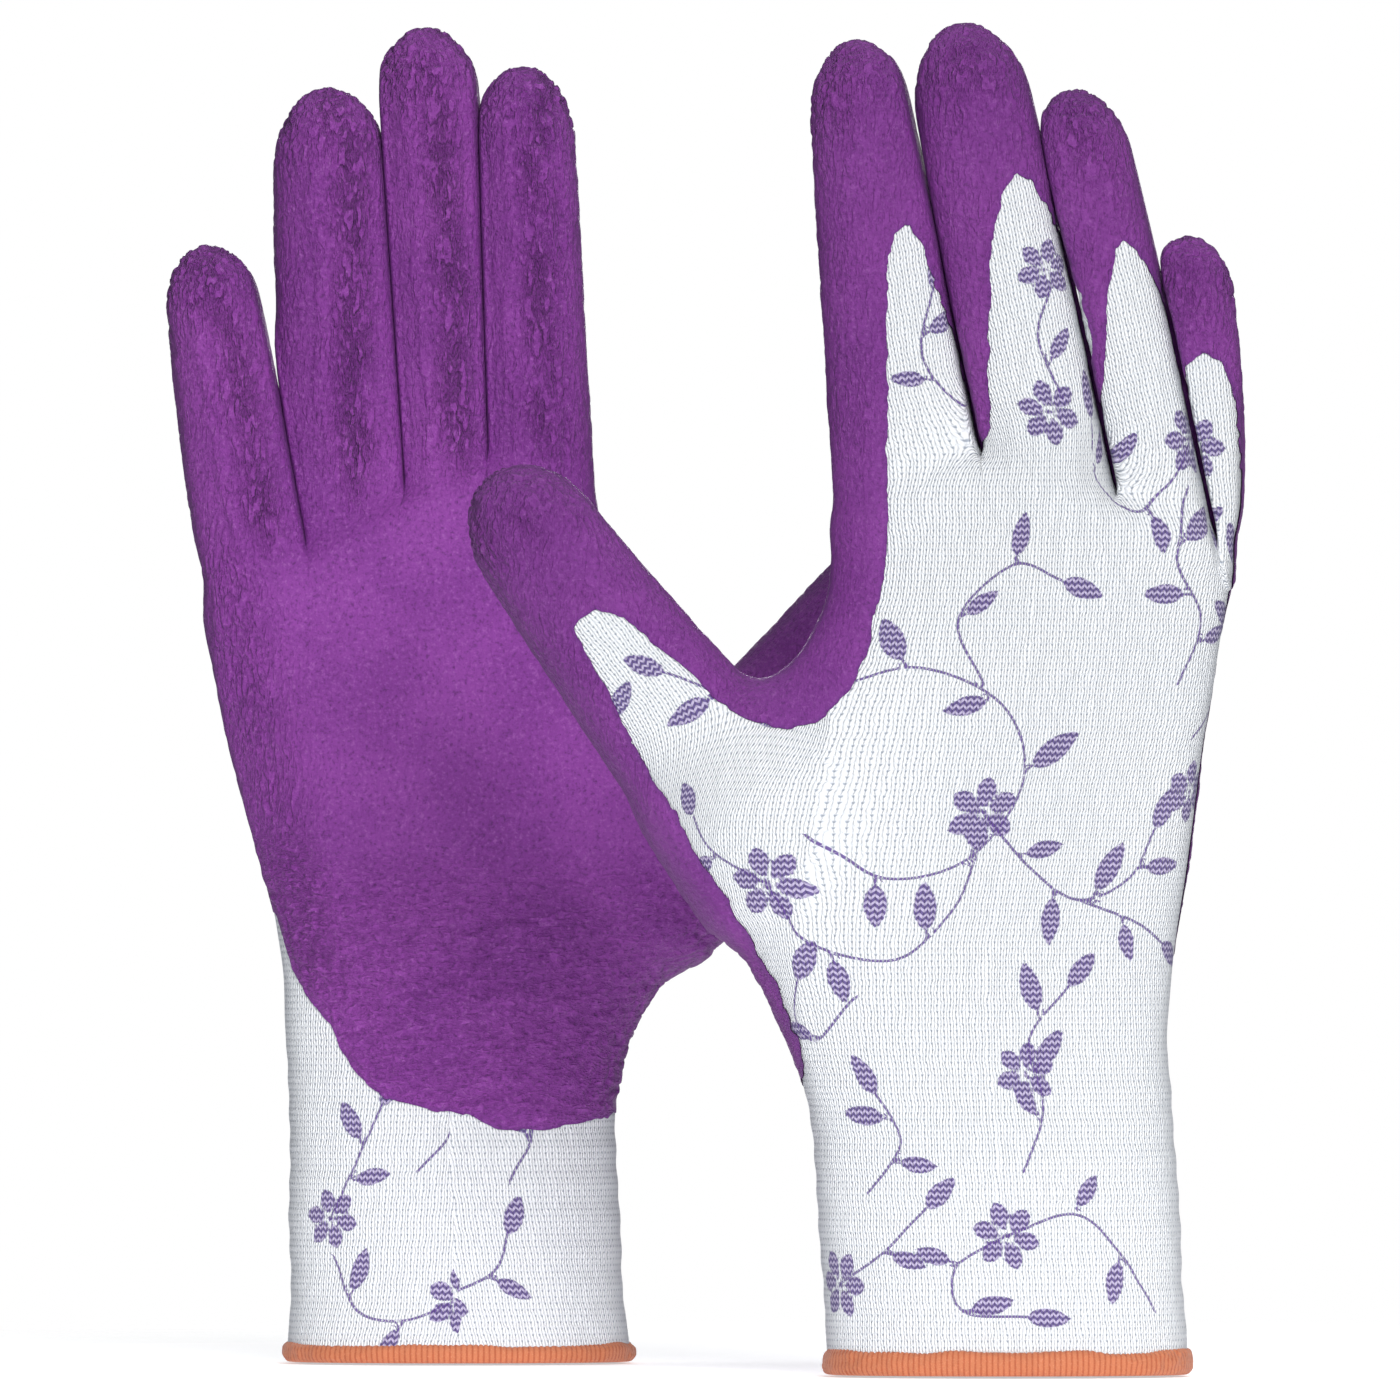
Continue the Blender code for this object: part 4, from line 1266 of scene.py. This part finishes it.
def knit_material():
    mat = Shader("Jersey knit with printed vines")
    u, v, _ = mat.separate(mat.build("ShaderNodeUVMap", {}, uv_map="knit"))
    rest = mat.attribute("rest", "Vector")
    u = u + (mat.noise(rest, scale=0.35, detail=2.0) - 0.5) * 0.9
    # stitches: two slanting legs, with small holes between columns
    off_middle = abs(mat.math("FRACT", u / WALE) * 2.0 - 1.0)
    row = mat.math("FRACT", v / COURSE + off_middle * 0.5)
    leg = 1.0 - abs(off_middle * 2.0 - 1.0) ** 2.0
    hump = 1.0 - abs(row * 2.0 - 1.0) ** 2.0
    stitch = mat.math("MAXIMUM", leg, 0.0001) ** 0.7 * (0.45 + hump * 0.55)
    hole = mat.step(off_middle, 0.55, 0.92) * mat.step(abs(row - 0.5), 0.24, 0.44)
    fuzz = mat.noise(rest, scale=3.2, detail=2.0)
    # rows pulled together by the elastic of the cuff
    cuff = mat.step(mat.separate(rest)[2], 50.0, 40.0)
    band = mat.math("SINE", v * (2 * math.pi / (2 * COURSE)))
    height = stitch + band * cuff * 0.22
    height = height + fuzz * 0.35
    # ink: broken lines and a rim in the leaves, and thin stems
    leaf = mat.attribute("leaf") + (stitch - 0.45) * 0.30
    inside = mat.step(leaf, -0.10, 0.14)
    rim = inside * mat.step(leaf, 0.45, 0.20)
    zigzag = mat.math("FRACT", v / COURSE + off_middle * 0.55)
    lines = mat.step(abs(zigzag - 0.5), 0.33, 0.22)
    deep = mat.math("MAXIMUM", lines * 0.95, rim * (0.30 + lines * 0.6))
    stem = (mat.step(abs(mat.attribute("line")), 0.36, 0.16)
            * mat.step(mat.attribute("near"), 0.80, 0.55))
    stem = stem * (0.10 + mat.step(stitch, 0.30, 0.60) * 0.85)
    white = mat.mix(mat.noise(rest, scale=0.06, detail=2.0),
                    srgb(244, 247, 251), srgb(250, 251, 253))
    # painted shade: grey-blue in the holes between columns and in the hollows between the stitch
    # legs
    white = mat.mix(hole * 0.80, white, srgb(128, 138, 156))
    white = mat.mix((1.0 - stitch) * 0.26, white, srgb(176, 186, 202))
    ink = mat.mix(deep, srgb(194, 182, 216), srgb(74, 48, 126))
    color = mat.mix(inside * 0.94, white, ink)
    color = mat.mix(stem, color, srgb(96, 70, 142))
    # painted shade: the knit turns darker and greyer towards its outline
    color = mat.mix(mat.step(mat.grazing(), 0.25, 0.90) * 0.60, color,
                    mat.mix(0.5, color, srgb(96, 104, 124)))
    return mat.surface(color, rough=0.86, normal=mat.bump(height, 0.00042, strength=0.9),
                       sheen=0.12, specular=0.18)


def foam_material():
    mat = Shader("Foamed latex")
    rest = mat.attribute("rest", "Vector")
    fine = mat.noise(rest, scale=1.25, detail=4.0, rough=0.72)
    # crease lines run up the hand, but across it over the heel
    upright = mat.stretch(rest, (0.72, 0.72, 0.27))
    crosswise = mat.stretch(rest, (0.42, 0.42, 0.85))
    _, y, z = mat.separate(rest)
    heel = mat.step(z, 106.0, 92.0)
    ridge = mat.mix(heel, mat.noise(upright, scale=1.0),
                    mat.noise(crosswise, scale=1.0, rough=0.6))
    crease = mat.math("SUBTRACT", 1.0, abs(ridge - 0.5) * 9.0, clamp=True)
    wide = mat.noise(rest, scale=0.05, detail=2.0)
    color = mat.mix(mat.step(wide, 0.3, 0.7), srgb(126, 50, 143), srgb(139, 60, 155))
    color = mat.mix(mat.step(fine, 0.49, 0.30) * 0.66, color, srgb(72, 25, 88))
    color = mat.mix(mat.step(fine, 0.53, 0.68) * 0.50, color, srgb(168, 100, 182))
    crinkle = mat.attribute("rough")
    # painted shade in the crease lines, stronger where the coat is crinkled
    color = mat.mix(crease * (0.07 + crinkle * 0.38), color, srgb(72, 26, 88))
    # painted shade in the deepest creases of the relief
    color = mat.mix(mat.attribute("deep") * 0.14, color, srgb(66, 22, 82))
    # a little darker where the coat wraps on to the back
    color = mat.mix(mat.step(y, -2.0, 4.0) * 0.26, color, srgb(88, 32, 102))
    # painted shade: the foam turns darker towards its outline
    color = mat.mix(mat.step(mat.grazing(), 0.35, 0.95) * 0.42, color, srgb(62, 22, 78))
    color = mat.mix(mat.step(mat.attribute("edge"), 0.9, 0.0) * 0.35, color, srgb(92, 44, 120))
    height = fine * 0.50 - crease * (0.10 + crinkle * 0.80)
    return mat.surface(color, rough=0.56, normal=mat.bump(height, 0.001, strength=1.0),
                       sheen=0.10, sheen_tint=srgb(200, 150, 220), specular=0.32)


def thread_material():
    mat = Shader("Overlock thread")
    rest = mat.attribute("rest", "Vector")
    ridge = abs(mat.math("SINE", mat.attribute("along") * math.pi))
    fibre = mat.noise(rest, scale=3.5, rough=0.65)
    # painted light and shade: lighter on the thread ridges, darker between them
    color = mat.mix(mat.step(ridge, 0.1, 0.8), srgb(172, 88, 56), srgb(196, 118, 82))
    # painted highlights: pale orange where the fibre noise is high
    color = mat.mix(mat.step(fibre, 0.5, 0.8) * 0.4, color, srgb(228, 164, 130))
    return mat.surface(color, rough=0.7, normal=mat.bump(fibre, 0.00018, strength=0.8),
                       sheen=0.2, specular=0.25)


def elastic_material():
    mat = Shader("Covered elastic yarn")
    place = mat.build("ShaderNodeTexCoord", {}, "Object")
    wraps = mat.build("ShaderNodeTexWave", {"Vector": place, "Scale": 700, "Distortion": 2.0},
                      "Fac", bands_direction="DIAGONAL")
    fibre = mat.noise(place, scale=2600, detail=2.0)
    color = mat.mix(wraps, srgb(196, 198, 202), srgb(232, 233, 235))
    height = wraps + fibre * 0.4
    return mat.surface(color, rough=0.75, normal=mat.bump(height, 0.0001, strength=0.8),
                       specular=0.25)


KNIT, FOAM, THREAD, ELASTIC = (knit_material(), foam_material(), thread_material(),
                               elastic_material())

for side in ("rear", "front"):
    build_glove(side)
    dress_elastic(side)

# ------------------------------------------------------------------ floor, lights, camera, m
scene = bpy.context.scene
CENTRE = (-0.0015, 0.0, 0.1244)
FLOOR_RADIUS, FLOOR_Z, FLOOR_SIDES = 0.5, -0.0004, 64
CAMERA_DISTANCE, CAMERA_ELEVATION = 10.0, math.radians(0.45)
SENSOR, VIEW_WIDTH = 36.0, 260.8  # mm; the view's width is at the gloves


def floor_material():
    """Pale and slightly glowing, fading to clear towards the rim."""
    mat = Shader("Pale floor")
    place = mat.build("ShaderNodeNewGeometry", {}, "Position")
    x, y, _ = mat.separate(place)
    radius = mat.math("SQRT", abs(x) ** 2.0 + abs(y) ** 2.0)
    grain = mat.noise(place, scale=60.0, detail=2.0)
    pale = mat.mix(grain, (0.93, 0.93, 0.94, 1), (0.96, 0.96, 0.96, 1))
    diffuse = mat.build("ShaderNodeBsdfDiffuse", {0: pale})
    glow = mat.build("ShaderNodeEmission", {0: (1, 1, 1, 1), 1: 0.45})
    clear = mat.build("ShaderNodeBsdfTransparent", {})
    lit = mat.build("ShaderNodeAddShader", {0: diffuse, 1: glow})
    fade = mat.step(radius, 0.14, FLOOR_RADIUS)
    return mat.finish(mat.build("ShaderNodeMixShader", {0: fade, 1: lit, 2: clear}))


def add_floor():
    material = floor_material()
    angles = [2 * math.pi * k / FLOOR_SIDES for k in range(FLOOR_SIDES)]
    verts = [(0, 0, FLOOR_Z)] + [(FLOOR_RADIUS * math.cos(angle), FLOOR_RADIUS * math.sin(angle),
                                  FLOOR_Z) for angle in angles]
    faces = [(0, k + 1, (k + 1) % FLOOR_SIDES + 1) for k in range(FLOOR_SIDES)]
    mesh = bpy.data.meshes.new("floor")
    mesh.from_pydata(verts, [], faces)
    ob = bpy.data.objects.new("floor", mesh)
    ob.data.materials.append(material)
    scene.collection.objects.link(ob)


def add_light(name, place, size, energy, color=(1, 1, 1)):
    """A round area light aimed at the gloves."""
    light = bpy.data.lights.new(name, "AREA")
    light.shape = "DISK"
    light.size = size
    light.energy = energy
    light.color = color
    ob = bpy.data.objects.new(name, light)
    ob.location = place
    ob.rotation_euler = (Vector(CENTRE) - Vector(place)).to_track_quat("-Z", "Y").to_euler()
    ob.visible_camera = False
    scene.collection.objects.link(ob)


def add_world():
    """White to the camera, dim and bluish as light."""
    world = bpy.data.worlds.new("studio")
    scene.world = world
    world.use_nodes = True
    nodes, links = world.node_tree.nodes, world.node_tree.links
    nodes.clear()
    output = nodes.new("ShaderNodeOutputWorld")
    path = nodes.new("ShaderNodeLightPath")
    backgrounds = []
    for color, strength in (((0.93, 0.96, 1.0, 1), 0.23), ((1, 1, 1, 1), 1.0)):
        background = nodes.new("ShaderNodeBackground")
        background.inputs[0].default_value = color
        background.inputs[1].default_value = strength
        backgrounds.append(background)
    mix = nodes.new("ShaderNodeMixShader")
    links.new(path.outputs["Is Camera Ray"], mix.inputs[0])
    for k, background in enumerate(backgrounds):
        links.new(background.outputs[0], mix.inputs[k + 1])
    links.new(mix.outputs[0], output.inputs[0])


def add_camera():
    camera = bpy.data.cameras.new("camera")
    ob = bpy.data.objects.new("camera", camera)
    scene.collection.objects.link(ob)
    scene.camera = ob
    camera.sensor_width = SENSOR
    camera.lens = SENSOR * CAMERA_DISTANCE * 1000 / VIEW_WIDTH
    ob.location = (CENTRE[0], -CAMERA_DISTANCE * math.cos(CAMERA_ELEVATION),
                   CENTRE[2] + CAMERA_DISTANCE * math.sin(CAMERA_ELEVATION))
    ob.rotation_euler = (math.pi / 2 - CAMERA_ELEVATION, 0, 0)
    camera.clip_start, camera.clip_end = 0.5, 40.0


add_floor()
add_light("key", place=(1.0, -4.0, 1.95), size=2.0, energy=158.0, color=(1.0, 0.995, 0.985))
add_light("front", place=(-1.1, -4.5, 0.6), size=2.2, energy=55.0, color=(0.95, 0.975, 1.0))
add_light("top", place=(0.1, 0.3, 1.6), size=0.9, energy=6.0)
add_light("back", place=(0.1, 4.4, 0.35), size=2.0, energy=105.0)
add_world()
add_camera()

scene.view_settings.view_transform = "Standard"
scene.view_settings.look = "None"
scene.render.film_transparent = False
